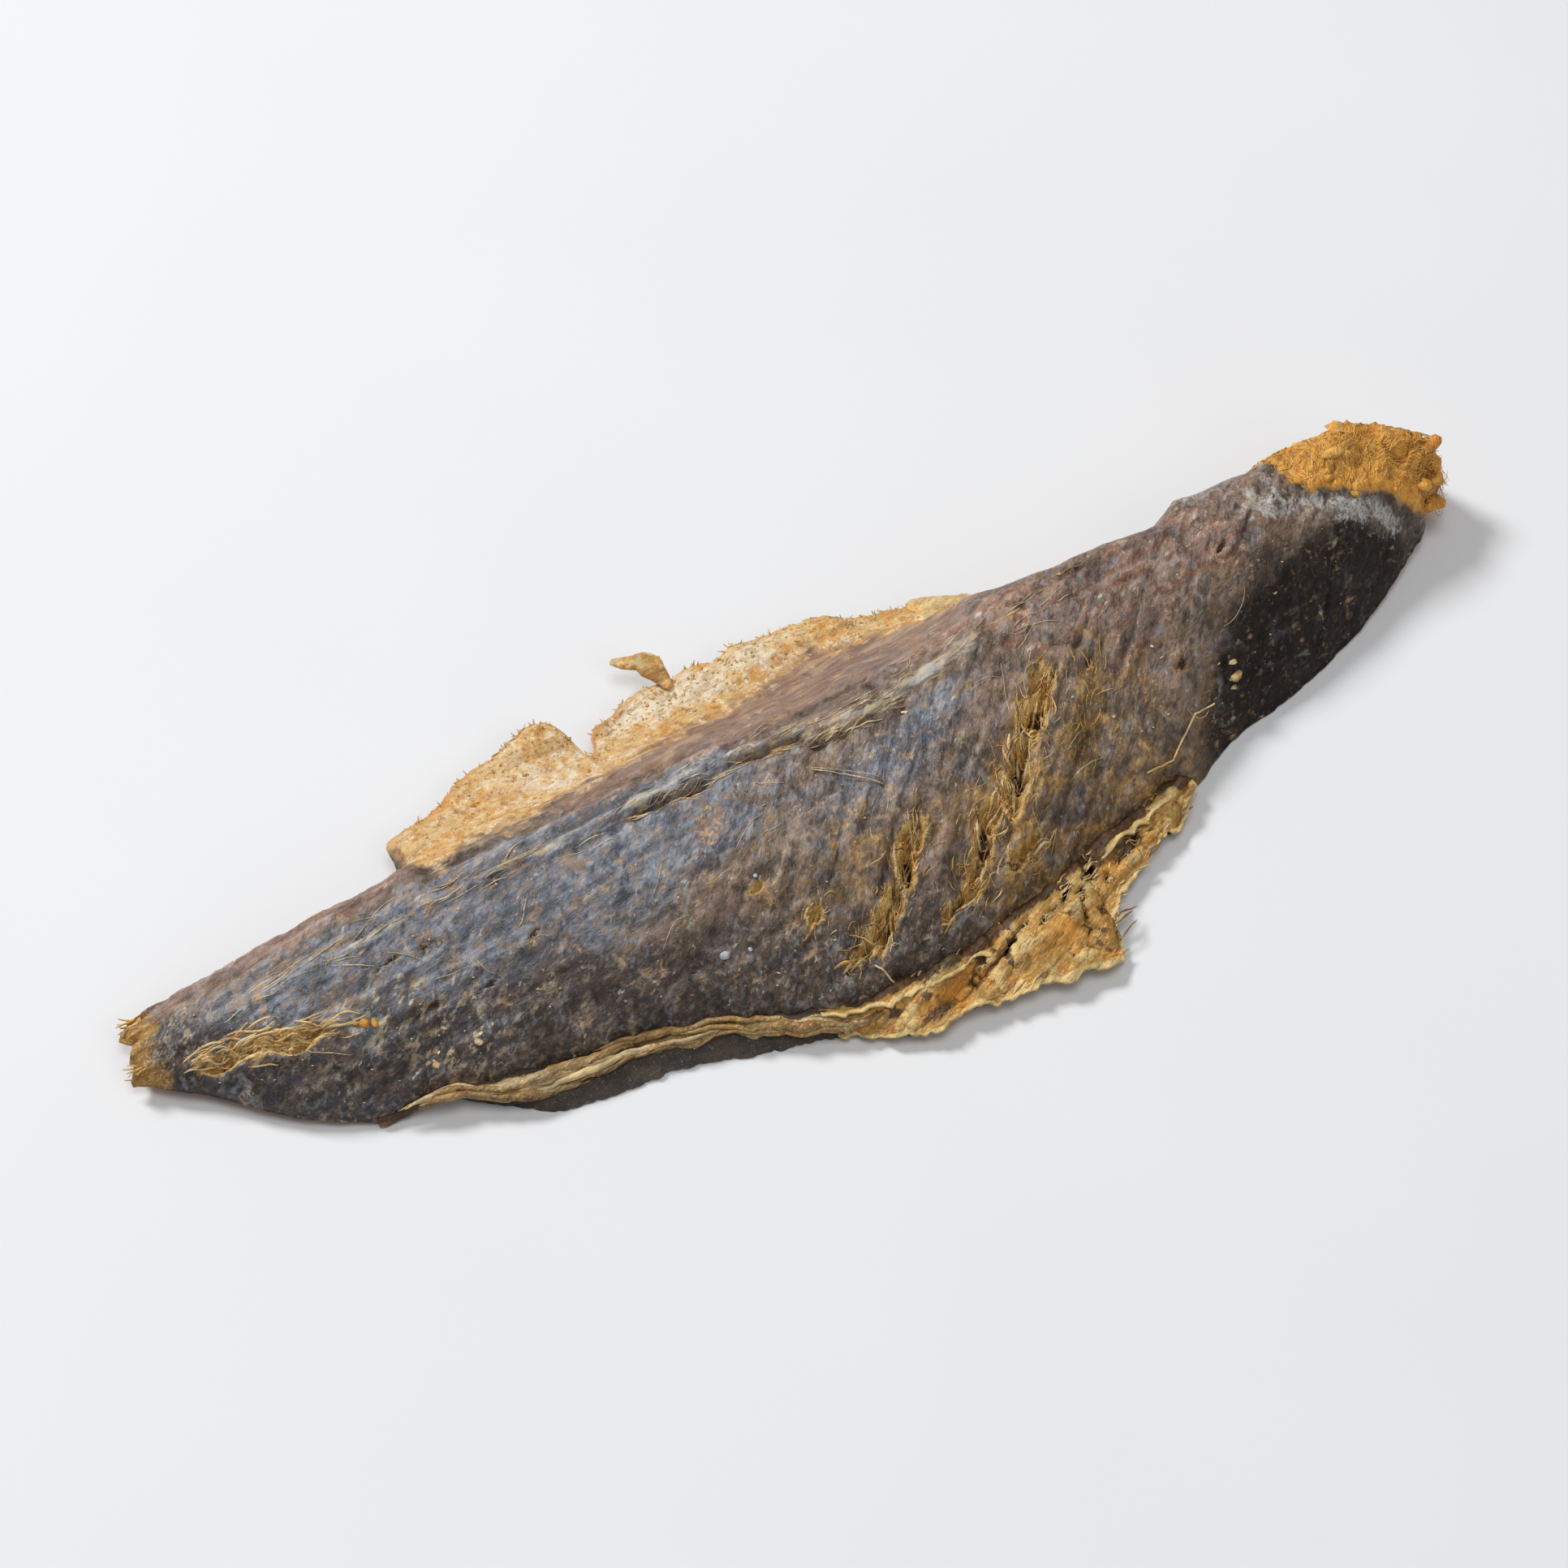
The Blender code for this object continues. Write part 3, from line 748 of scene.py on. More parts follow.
    # the thin flap: brown, then orange brown, gold and pale; the gold and pale are kept light partly as painted light
    # shining through it
    brown = n.broken(n.attr("m_flapbrown"), n.mean(along, blotch), 1.4, 0.15, 0.85)
    streak = n.noise(1.3, 4, 0.6, stretch=(0.13, 1.1, 0.9), turn=9, distort=0.3)
    lines = n.noise(1.9, 3, 0.6, stretch=(0.07, 1.1, 0.9), turn=6, distort=0.25)
    brownc = n.mix(n.step(along, 0.25, 0.75), FLAP_BROWN, srgb(126, 92, 76))
    brownc = n.mix(n.part(lines, 0.45, 0.90, 0.35), brownc, srgb(176, 154, 134))
    brownc = n.mix(n.part(n.math("SUBTRACT", 1.0, lines), 0.55, 0.95, 0.40), brownc, srgb(92, 66, 54))
    brownc = n.mix(n.part(n.mean(streak, blotch), 0.48, 0.78, 0.70), brownc, srgb(186, 148, 108))
    brownc = n.mix(n.part(n.mean(other, blotch), 0.46, 0.66, 0.65), brownc, srgb(128, 108, 104))
    brownc = n.mix(n.part(n.mean(stroke2, mott), 0.50, 0.72, 0.70), brownc, srgb(122, 108, 104))
    brownc = n.mix(n.part(n.mean(other, mott), 0.54, 0.74, 0.60), brownc, srgb(96, 78, 68))
    brownc = n.mix(n.part(n.mean(blotch, streak), 0.54, 0.76, 0.60), brownc, srgb(186, 156, 124))
    c = n.mix(n.math("MULTIPLY", brown, 0.88), c, brownc)
    seed = n.noise(0.95, 3, 0.6)
    gold = n.broken(n.attr("m_gold"), n.mean(along, blotch, mott), 1.7, 0.15, 0.85)
    goldc = n.mix(n.step(n.mean(blotch, seed), 0.36, 0.64), srgb(214, 180, 122), srgb(206, 152, 78))
    goldc = n.mix(n.broken(n.attr("m_palegold"), n.mean(mott, other, seed), 1.6, 0.20, 0.85), goldc, srgb(226, 212, 184))
    goldc = n.mix(n.part(n.mean(seed, grain), 0.50, 0.74, 0.80), goldc, srgb(160, 112, 58))
    goldc = n.mix(n.part(n.mean(grain, mott), 0.56, 0.74, 0.80), goldc, srgb(234, 224, 204))
    goldc = n.mix(n.part(n.mean(streak, along), 0.54, 0.80, 0.50), goldc, srgb(158, 122, 96))
    c = n.mix(gold, c, goldc)
    rim = n.broken(n.attr("m_rim"), mott, 0.9)
    c = n.mix(n.math("MULTIPLY", rim, 0.70), c, GOLD_DEEP)
    # flesh in the tears and at the head end
    flesh = n.broken(n.attr("m_flesh"), n.mean(stroke2, grain, mott), 1.5, 0.22, 0.80)
    fleshc = n.mix(n.step(n.mean(stroke2, mott), 0.32, 0.62), FLESH, srgb(136, 98, 42))
    fleshc = n.mix(n.part(n.mean(grain, stroke), 0.48, 0.70, 0.75), fleshc, FLESH_PALE)
    # painted highlight on the ridges of the torn flesh
    fleshc = n.mix(n.math("MULTIPLY", ridge_highlight, 0.6), fleshc, srgb(224, 188, 110))
    c = n.mix(n.math("MULTIPLY", flesh, 0.94), c, fleshc)
    # painted shade in the deep hollows: tears, slits, the crack's hole and the crease's grooves
    c = n.mix(n.broken(n.attr("m_pit_shade"), n.mean(grain, stroke2), 0.8), c, PIT)
    orange = n.broken(n.attr("m_orange"), n.mean(mott, blotch), 1.0, 0.25, 0.75)
    orangec = n.mix(n.step(n.mean(mott, seed), 0.34, 0.66), srgb(220, 158, 58), srgb(202, 136, 46))
    orangec = n.mix(n.part(n.mean(grain, seed), 0.48, 0.72, 0.65), orangec, srgb(234, 186, 100))
    orangec = n.mix(n.part(n.mean(blotch, mott), 0.56, 0.76, 0.70), orangec, srgb(160, 92, 34))
    # painted shade in the hollows of the head flesh
    orangec = n.mix(n.math("MULTIPLY", valley_shade, 0.7), orangec, srgb(134, 74, 26))
    c = n.mix(orange, c, orangec)
    # the flesh side underneath
    underc = n.mix(n.step(n.noise(0.3, 4, 0.6), 0.2, 0.8), srgb(146, 78, 34), srgb(186, 118, 48))
    underc = n.mix(n.part(along, 0.45, 0.8, 0.6), underc, srgb(104, 54, 28))
    c = n.mix(n.attr("m_under"), c, underc)
    n.link(n.fmix(black, 0.36, 0.10), n.shader.inputs["Specular IOR Level"])
    wet = n.mean(mott, blotch, grain)
    rough = n.step(wet, 0.30, 0.70, 0.30, 0.60)
    height = n.mean(stroke2, mott, stroke)
    fine = n.bump(height, 0.60, 0.00038)
    return n.finish(c, rough, n.bump(grain, 0.35, 0.00012, fine), soft=0.10)


def flesh_material(name, base, pale, deep, dark, turn=25.0, rough=(0.36, 0.62)):
    """Torn, dried flesh: fibres along one direction with their own pale and dark tones; the pale and dark attributes
    add painted highlight on ridges and painted shade in grooves and under the skin's edge.
    """
    n = Nodes(name, 0.5)
    fibre = n.noise(1.3, 4, 0.62, stretch=(0.22, 1.3, 1.0), turn=turn)
    fine = n.noise(3.0, 3, 0.65, stretch=(0.25, 1.2, 1.0), turn=turn + 6)
    blotch = n.noise(0.28, 4, 0.6, distort=0.4)
    grain = n.noise(3.2, 3, 0.7)
    c = n.mix(n.step(n.mean(fibre, blotch), 0.32, 0.68), base, deep)
    c = n.mix(n.part(n.mean(fine, grain), 0.50, 0.74, 0.6), c, pale)
    c = n.mix(n.math("MULTIPLY", n.broken(n.attr("m_pale_and_highlight"), n.mean(fibre, grain), 1.0), 0.85), c, pale)
    c = n.mix(n.part(n.mean(fibre, fine), 0.60, 0.80, 0.5), c, dark)
    c = n.mix(n.math("MULTIPLY", n.broken(n.attr("m_dark_and_shade"), n.mean(fine, blotch), 1.0), 0.92), c, dark)
    c = n.mix(n.math("MULTIPLY", n.broken(n.attr("m_warm"), n.mean(fine, blotch, grain), 1.8, 0.25, 0.85), 0.75), c, srgb(208, 144, 52))
    lumpy = n.step(n.mean(n.noise(0.55, 3, 0.6), blotch), 0.30, 0.70, 0.74, 1.26)
    c = n.mix(1.0, c, lumpy, "MULTIPLY")
    r = n.step(n.mean(blotch, grain), 0.25, 0.75, rough[0], rough[1])
    b = n.bump(n.mean(fibre, fine), 0.7, 0.00035)
    return n.finish(c, r, b, soft=0.1)


# ------------------------------------------------------------------ the body
COLUMNS = 600
FAR_ROWS, SHOULDER_ROWS, FLANK_ROWS = 30, 22, 68
ROWS = FAR_ROWS + SHOULDER_ROWS + FLANK_ROWS


def body_grid():
    i = np.arange(COLUMNS + 1)
    x0 = -HALF + 2 * HALF * i / COLUMNS
    x = np.repeat(x0[:, None], ROWS + 1, axis=1)
    far, far_skin, crest, near = rim_far(x0), skin_far(x0), curve(STATIONS, x0, 3), edge_near(x0)
    y = np.empty_like(x)
    for j in range(ROWS + 1):
        if j <= FAR_ROWS:
            y[:, j] = mix(far, far_skin, j / FAR_ROWS)
        elif j <= FAR_ROWS + SHOULDER_ROWS:
            y[:, j] = mix(far_skin, crest, (j - FAR_ROWS) / SHOULDER_ROWS)
        else:
            q = (j - FAR_ROWS - SHOULDER_ROWS) / FLANK_ROWS
            y[:, j] = mix(crest, near, 1.0 - (1.0 - q) ** 1.12)
    return x, y


def bottom_of(x, y, top):
    """The underside: flat on the table at the middle, hollowed a little, thin under the flap and the lip."""
    far, far_skin, near = rim_far(x), skin_far(x), edge_near(x)
    lift, foot, closed = lift_of(x), foot_of(x), closed_side(x)
    wide = smooth(1.5, 7.0, far - far_skin)
    thick = 0.35 + 0.95 * smooth(0.0, 5.0, far - y)
    flap = top - thick
    t = smooth(-2.5, 4.5, y - far_skin) * wide
    z = mix(lift, flap, t)
    lip = (1.0 - smooth(0.7, 3.2, y - near)) * (1.0 - closed)
    z = mix(z, foot - 1.5, lip)
    mid = curve(STATIONS, x, 3) - 4.0
    hollow = 2.2 * smooth(-58.0, -38.0, x) * (1 - smooth(40.0, 62.0, x)) * np.exp(-(((y - mid) / 9.0) ** 2))
    u = x * 0.9 + np.abs(y - mid) * 0.35
    ribs = 0.35 * np.exp(-(((np.mod(u, 4.4) - 2.2) / 0.55) ** 2)) * smooth(1.5, 4.0, np.abs(y - mid)) * (1 - smooth(9.0, 15.0, np.abs(y - mid)))
    spine = 0.9 * np.exp(-(((y - mid) / 1.3) ** 2)) * (0.8 + 0.2 * np.cos(x * 2 * math.pi / 4.2))
    z = z + hollow - (ribs + spine) * smooth(-58.0, -38.0, x) * (1 - smooth(40.0, 62.0, x)) * 0.9
    return np.minimum(z, top - 0.3)


def body():
    x, y = body_grid()
    z = top_of(x, y)
    # the rim of the flap curls and thins; the ends are torn
    tail = 1.0 - smooth(0.0, 8.0, x + HALF)
    head = smooth(-7.0, 0.0, x - HALF)
    pull = tail * (2.6 * np.exp(-(((y - 1.4) / 0.9) ** 2)) + 1.4 * smooth(1.0, 5.0, y) + 0.7 * fbm(y * 0.9, 1.0, 71, 3))
    push = head * (1.5 + 1.3 * fbm(y * 0.45, 2.0, 73, 3) + 1.5 * smooth(-1.0, -2.2, y))
    xx = x + pull - push
    # the tab leans over its notch
    xx = xx - 1.5 * spot(x, y, -46.6, 12.4, 2.6, 3.2) * smooth(7.0, 12.0, y)
    far_skin = skin_far(x)
    wall = (1.0 - smooth(1.5, 7.0, rim_far(x) - far_skin)) * smooth(-1.8, 0.2, y - far_skin)
    unrolled = y + wall * np.clip(0.5 * curve(STATIONS, x, 4) + 0.4 - z, 0.0, 9.0)
    y_out = y + wall * smooth(0.2, 2.5, z - lift_of(x)) * (0.55 * fbm(x * 0.20, z * 0.34, 221, 3) + 0.28 * fbm(x * 0.75, z * 0.85, 223, 2) - 0.15)
    top = np.stack([xx, y_out, z], -1)
    zb = bottom_of(x, y, z)
    low = np.stack([xx, y, zb], -1)[::2, ::2]
    # the perimeter sits between the two sides
    top[0, :, 2] = mix(zb[0], z[0], 0.45)
    top[-1, :, 2] = mix(zb[-1], z[-1], 0.45)
    closed = closed_side(x[:, -1])
    top[:, -1, 2] = mix(z[:, -1] - 0.45, lift_of(x[:, -1]) + 0.25, closed)
    far_wide = smooth(1.5, 7.0, rim_far(x[:, 0]) - skin_far(x[:, 0]))
    top[:, 0, 2] = mix(mix(zb[:, 0], z[:, 0], 0.3), z[:, 0] - 0.18, far_wide)
    verts, faces = slab(top, low)
    n_top = (COLUMNS + 1) * (ROWS + 1)
    masks = body_masks(x.ravel(), unrolled.ravel())
    form = z - smooth_top(x, y)
    proud = (form - soften(form, 9)).ravel()
    # painted highlight where the relief stands proud, painted shade where it sinks in
    masks["m_ridge_highlight"] = smooth(0.02, 0.22, proud)
    masks["m_valley_shade"] = smooth(0.02, 0.24, -proud)
    under_n = len(verts) - n_top
    xl, yl = x[::2, ::2][1:-1, 1:-1].ravel(), y[::2, ::2][1:-1, 1:-1].ravel()
    attributes = {}
    for key, values in masks.items():
        attributes[key] = np.concatenate([values, np.zeros(under_n)])
    far = rim_far(xl)
    flap_under = smooth(0.0, 3.0, yl - skin_far(xl)) * smooth(1.5, 5.0, far - skin_far(xl))
    attributes["m_gold"][n_top:] = flap_under
    attributes["m_flapbrown"][n_top:] = flap_under * 0.5
    attributes["m_under"] = np.concatenate([np.zeros(n_top), 1.0 - flap_under])
    obj = new_object("fish_body", verts, faces, skin_material(), attributes=attributes)
    return obj


def body_masks(x, y):
    far, near = rim_far(x), edge_near(x)
    far_skin, crest = skin_far(x), curve(STATIONS, x, 3)
    wide = smooth(1.5, 7.0, far - far_skin)
    wob = 1.6 * fbm(x * 0.12, y * 0.12, 81, 3)
    dark = curve(DARK_LINE, x)
    m = {}
    m["m_blue"] = np.clip(
        smooth(-84.0, -74.0, x) * (1.0 - smooth(-22.0, 2.0, x + wob)) * smooth(-19.0, -12.5, y + wob - 0.10 * (x + 40.0) * (x < 0)) * (1.0 - smooth(-1.5, 2.5, y + wob))
        + 0.85 * spot(x, y, 1.0, -12.0, 8.0, 4.6, 20) + 0.95 * spot(x, y, 11.5, -7.2, 7.0, 2.6, 20)
        + 0.45 * spot(x, y, 56.0, 2.5, 5.0, 4.0) + 0.35 * spot(x, y, 36.0, -6.0, 5.0, 2.4, 30) + 0.4 * spot(x, y, -8.0, -18.0, 4.0, 2.0, 40), 0, 1)
    m["m_pink"] = np.clip(
        (1.0 - smooth(-52.0, -42.0, x)) * smooth(0.6, 2.4, y + 0.4 * wob)
        + 0.7 * smooth(-40.0, -26.0, x) * (1.0 - smooth(18.0, 34.0, x)) * smooth(0.2, 3.2, y - crest - 0.6)
        + 0.75 * spot(x, y, 44.0, 1.0, 18.0, 6.0) + 0.6 * spot(x, y, 31.0, -3.0, 10.0, 4.0) + 0.45 * spot(x, y, 38.0, -8.0, 9.0, 4.0, 20), 0, 1)
    m["m_olive"] = np.clip(
        0.75 * spot(x, y, -11.0, -22.5, 9.0, 3.6, 20) + 0.72 * spot(x, y, 29.0, -14.5, 9.0, 4.4, 30) + 0.55 * spot(x, y, -3.5, -16.5, 6.0, 2.4, 45)
        + 0.75 * smooth(-6.0, 8.0, x) * (1.0 - smooth(40.0, 48.0, x)) * (1.0 - smooth(1.5, 6.5, y - near + wob))
        + 0.6 * spot(x, y, 15.0, -19.0, 9.0, 6.0, 50) + 0.35 * spot(x, y, 48.0, -9.0, 6.0, 3.0, 40), 0, 1)
    fx, fy = x + 0.9 * fbm(x * 0.4, y * 0.4, 56, 2), y + 0.9 * fbm(x * 0.4, y * 0.4, 57, 2)
    furrow = np.zeros_like(x)
    for k, line in enumerate(FURROWS):
        furrow = np.maximum(furrow, (1.0, 0.95, 0.5)[k] * np.exp(-((to_line(fx, fy, line) / 1.9) ** 2)))
    m["m_olive"] = np.clip(m["m_olive"] + 0.75 * furrow, 0, 1)
    # darker towards the -Y edge: skin colour and painted shade where the flank rolls under
    m["m_umber_and_shade"] = np.clip(
        (1.0 - smooth(-6.0, 16.0, x)) * (1.0 - smooth(4.0, 13.5, y - near + wob)) * 1.0
        + 0.5 * smooth(34.0, 44.0, x) * (1.0 - smooth(2.0, 9.0, y - near)), 0, 1)
    # near black towards the head end: dark skin and painted shade on the slope facing away from the light
    m["m_black_and_shade"] = smooth(31.0, 53.0, x + 0.45 * (dark - y) + 2.2 * wob) * (1.0 - smooth(-4.2, 3.2, y - dark + wob * 1.5))
    m["m_black_and_shade"] = np.clip(m["m_black_and_shade"] + 0.8 * spot(x, y, 74.0, 14.5, 9.0, 3.0), 0, 1) * (1.0 - head_flesh(x, y) * (1.0 - smooth(10.6, 13.0, y)))
    cr, on, lines = crease_lines(x, y)
    streak = 0.9 * spot(x, y, -15.5, -2.3, 8.0, 0.9, 1) + 0.6 * spot(x, y, -57.0, -2.7, 9.0, 0.7) + 0.55 * spot(x, y, 14.0, -2.2, 11.0, 0.9, 10) + 0.5 * spot(x, y, -68.0, -1.9, 6.0, 0.6, -6)
    part = 0.15 + 0.85 * smooth(-0.25, 0.45, noise(x * 0.11, 3.0, 46))
    m["m_crease"] = np.clip(on * part * np.exp(-((cr / 0.8) ** 2)) * smooth(0.1, 0.8, lines) * 0.75 + streak * smooth(-0.5, 0.5, lines), 0, 1)
    # the grooves between the crease's fine ridges, for painted shade
    groove_shade = on * np.exp(-((cr / 1.7) ** 2)) * (1.0 - smooth(-0.75, -0.25, lines))
    m["m_silver"] = np.clip(
        spot(x, y, 69.0, -2.6, 7.0, 1.7, -26) + 0.6 * spot(x, y, 55.0, 7.6, 5.0, 2.4, 20) + 0.5 * spot(x, y, 60.0, 1.0, 5.0, 4.0)
        + 0.5 * spot(x, y, -15.0, -1.4, 9.0, 1.1) + 0.25 * spot(x, y, 2.0, -11.0, 7.0, 4.0, 20), 0, 1)
    m["m_silver"] *= 1.0 - 0.8 * head_flesh(x, y)
    m["m_cream"] = np.clip(
        spot(x, y, -58.0, -10.5, 7.0, 3.0) + 0.8 * spot(x, y, -52.5, -17.0, 5.0, 3.0) + 0.5 * spot(x, y, -79.0, -1.0, 5.0, 2.6)
        + 0.6 * spot(x, y, 3.0, -4.0, 12.0, 2.4, 8) + 0.12, 0, 1)
    m["m_flapbrown"] = np.clip(wide * smooth(1.0, 6.0, y - crest - 1.0 + 0.8 * wob), 0, 1) * (0.35 + 0.65 * smooth(-38.0, -20.0, x))
    start = curve(GOLD_START, x)
    m["m_gold"] = wide * smooth(-3.6, 3.2, y - start + 1.5 * wob)
    m["m_palegold"] = np.clip(0.85 * spot(x, y, -13.0, 15.0, 9.5, 3.6) + 0.55 * spot(x, y, -30.0, 12.0, 7.0, 4.0) + 0.65 * spot(x, y, 1.0, 16.0, 6.0, 2.4)
                              + 0.35 * spot(x, y, -24.0, 7.5, 6.0, 3.0), 0, 1)
    m["m_gold"] = np.maximum(m["m_gold"], smooth(24.0, 28.0, x) * (1 - smooth(40.0, 48.0, x)) * smooth(-1.3, -0.3, y - far))
    m["m_rim"] = wide * (1.0 - smooth(0.35, 1.5 + 0.6 * noise(x * 0.3, 1.0, 83), far - y)) * (0.6 + 0.4 * noise(x * 0.22, 4.0, 84))
    deep, open_, lip = tear_field(x, y)
    u, w = rotate(x, y, 46.0)
    m["m_flesh"] = np.clip(open_ * 0.95 + 0.4 * lip + 0.55 * furrow * smooth(-0.3, 0.5, fbm(u * 0.3, w * 1.0, 94, 2)), 0, 1)
    dc = y - curve(CRACK, x) - 0.22 * fbm(x * 0.55, 1.0, 51, 2)
    oc = smooth(-28.5, -23.0, x) * (1.0 - smooth(6.0, 13.0, x)) * (0.72 + 0.4 * noise(x * 0.4, 5.0, 52))
    m["m_flesh"] = np.maximum(m["m_flesh"], 0.55 * oc * np.exp(-((dc / 0.6) ** 2)))
    tail_tip = 1.0 - smooth(1.5, 6.0, x + HALF + 1.2 * fbm(y * 0.7, 0.0, 86, 2))
    m["m_flesh"] = np.maximum(m["m_flesh"], 0.85 * tail_tip)
    narrow = np.zeros_like(x)
    for cx, cy, ln, wd, turn, depth in TEARS:
        if wd < 0.5:
            narrow = np.maximum(narrow, spot(x, y, cx, cy, ln * 0.9, wd * 1.3, turn))
    # painted shade in deep tears, narrow slits, the crack's hole and the crease's grooves
    m["m_pit_shade"] = np.clip(smooth(0.70, 1.30, deep * (0.75 + 0.35 * ridged(u * 0.25, w * 1.7, 55))) * 0.95
                         + 0.8 * narrow
                         + 1.0 * spot(x, y, -2.8, -5.6, 1.2, 0.8) + 0.65 * oc * np.exp(-((dc / 0.30) ** 2)), 0, 1)
    m["m_flesh"] = m["m_flesh"] * (1.0 - 0.9 * np.clip(narrow * 1.5, 0, 1))
    m["m_pit_shade"] = np.clip(m["m_pit_shade"] + 0.65 * groove_shade, 0, 1)
    m["m_orange"] = head_flesh(x, y) * (1.0 - 0.92 * smooth(10.6, 13.0, y + 1.6 * fbm(x * 0.35, y * 0.35, 225, 3)))
    m["m_under"] = np.zeros_like(x)
    m["m_slant"] = np.clip(0.15 + smooth(-36.0, -10.0, x) * smooth(-1.0, 5.0, crest - y) + smooth(16.0, 32.0, x), 0, 1)
    return m


skin = body()
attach(skin, "root")
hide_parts("smoked_fish")

# ------------------------------------------------------------------ the -Y edge: flesh and flap under the skin's lip
RAG_RIM = (           # the -Y outline of the torn belly wall and of the skin folded under it
    (-64.0, -20.6), (-58.0, -22.3), (-54.4, -24.2), (-50.0, -26.2), (-45.6, -27.6), (-39.9, -28.4), (-34.0, -28.8),
    (-29.8, -29.4), (-21.6, -31.8), (-16.0, -33.0), (-13.0, -34.2), (-8.2, -36.9), (-5.3, -37.8), (-1.0, -37.6),
    (2.6, -38.3), (7.7, -38.6), (12.0, -39.3), (15.0, -39.6), (17.6, -39.2), (18.5, -37.4), (18.9, -35.2), (20.6, -32.9),
    (22.3, -31.6), (24.9, -30.3), (26.6, -28.8), (28.2, -28.6), (30.4, -27.4), (32.3, -27.3), (34.0, -25.2), (37.0, -23.4),
)


def rag_rim(x, seed=0, size=1.0):
    teeth = 0.45 * fbm(x * 0.45, 3.0, 101 + seed, 3) + 0.28 * ridged(x * 0.9, 6.0, 103 + seed)
    return curve(RAG_RIM, x) + size * teeth


def place(obj):
    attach(obj, "root")
    return obj


flesh_gold = flesh_material("torn_flesh", srgb(192, 146, 66), srgb(222, 194, 132), srgb(160, 106, 36), srgb(66, 40, 18), 24.0)
flesh_band = flesh_material("belly_flesh", srgb(170, 134, 76), srgb(218, 194, 144), srgb(136, 92, 42), PIT, 8.0)
# a dark flesh colour for the sheet under the holes: painted shade
flesh_hole_shade = flesh_material("hole_shade_flesh", srgb(96, 62, 28), FLESH, srgb(66, 38, 18), PIT, 30.0)
flesh_orange = flesh_material("head_flesh", srgb(220, 158, 58), srgb(234, 186, 100), srgb(186, 118, 38), srgb(120, 66, 24), 60.0, (0.45, 0.65))
fibre_pale = flesh_material("pale_fibre", srgb(196, 172, 124), srgb(222, 204, 168), srgb(176, 138, 82), srgb(110, 78, 44), 0.0, (0.4, 0.6))
fibre_gold = flesh_material("gold_fibre", srgb(204, 158, 80), srgb(228, 200, 144), srgb(184, 124, 48), srgb(96, 60, 26), 0.0, (0.4, 0.6))


def grid_xy(x0, x1, cells, rows, inner, outer, power=1.0):
    """Stations along the fish, and shares across from the inner line to the outer one."""
    x = np.repeat(np.linspace(x0, x1, cells + 1)[:, None], rows + 1, axis=1)
    t = np.repeat((np.linspace(0, 1, rows + 1) ** power)[None, :], cells + 1, axis=0)
    return x, inner(x) + (outer(x) - inner(x)) * t, t


def closed_slab(name, x, y, top, bottom, material, attributes):
    """A closed solid between two height fields over the same grid."""
    up, low = np.stack([x, y, top], -1), np.stack([x, y, bottom], -1)[::2, ::2]
    for side in (np.s_[0, :], np.s_[-1, :], np.s_[:, 0], np.s_[:, -1]):
        up[side][..., 2] = mix(top[side], bottom[side], 0.6)
    verts, faces = slab(up, low)
    extra = len(verts) - up.shape[0] * up.shape[1]
    full = {k: np.concatenate([np.ravel(v), np.full(extra, 0.4)]) for k, v in attributes.items()}
    return new_object(name, verts, faces, material, attributes=full)


# the skin of the lower side, folded under: a dark strip below the pale flesh, near black partly from its own colour and
# partly as painted shade under the lip
def folded_skin_shaded():
    x, y, t = grid_xy(-60.0, -3.0, 240, 24, lambda q: edge_near(q) + 3.0,
                      lambda q: mix(edge_near(q) + 0.3, rag_rim(q, 5, 0.7) + 0.9, smooth(-58.0, -44.0, q)))
    ends = smooth(-60.0, -54.0, x) * (1.0 - smooth(-10.0, -3.0, x))
    y = y + (1 - ends) * t * 2.0
    z = 0.35 + lift_of(x) + 2.0 * ends * (1.0 - t**2.6) + 0.16 * fbm(x * 0.3, y * 1.1, 111, 3) + 0.10 * ridged(x * 0.2, y * 1.6, 113) * (1 - t)
    z = z + 0.5 * spot(x, y, -51.0, -25.6, 1.6, 1.2) + 0.3 * spot(x, y, -33.0, -28.0, 5.0, 1.0)
    low = lift_of(x) * 0.0 + 0.02 + 0.0 * z
    n = Nodes("folded_skin_shaded", 0.5)
    fibre = n.noise(1.0, 4, 0.6, stretch=(0.25, 1.3, 1.0), turn=6)
    fine, blotch = n.noise(2.6, 3, 0.65), n.noise(0.3, 3, 0.6)
    # near-black browns: the skin's own dark colour and painted shade under the lip
    c = n.mix(n.step(n.mean(fibre, blotch), 0.3, 0.7), srgb(52, 47, 46), srgb(78, 66, 52))
    c = n.mix(n.part(n.mean(fine, fibre), 0.5, 0.75, 0.7), c, srgb(34, 28, 26))
    c = n.mix(n.part(fine, 0.66, 0.9, 0.6), c, srgb(138, 122, 98))
    mat = n.finish(c, n.step(fine, 0.2, 0.8, 0.4, 0.65), n.bump(n.mean(fibre, fine), 0.7, 0.0004))
    return place(closed_slab("folded_skin_shaded", x, y, z, low, mat, {}))


# pale belly flesh between the skin's lip and the folded skin
def band_reach(x):
    return 0.3 + 2.05 * smooth(-62.0, -46.0, x) * (1.0 - 0.30 * smooth(-36.0, -24.0, x) * (1 - smooth(-20.0, -10.0, x))) + 0.45 * fbm(x * 0.20, 2.0, 121, 2)


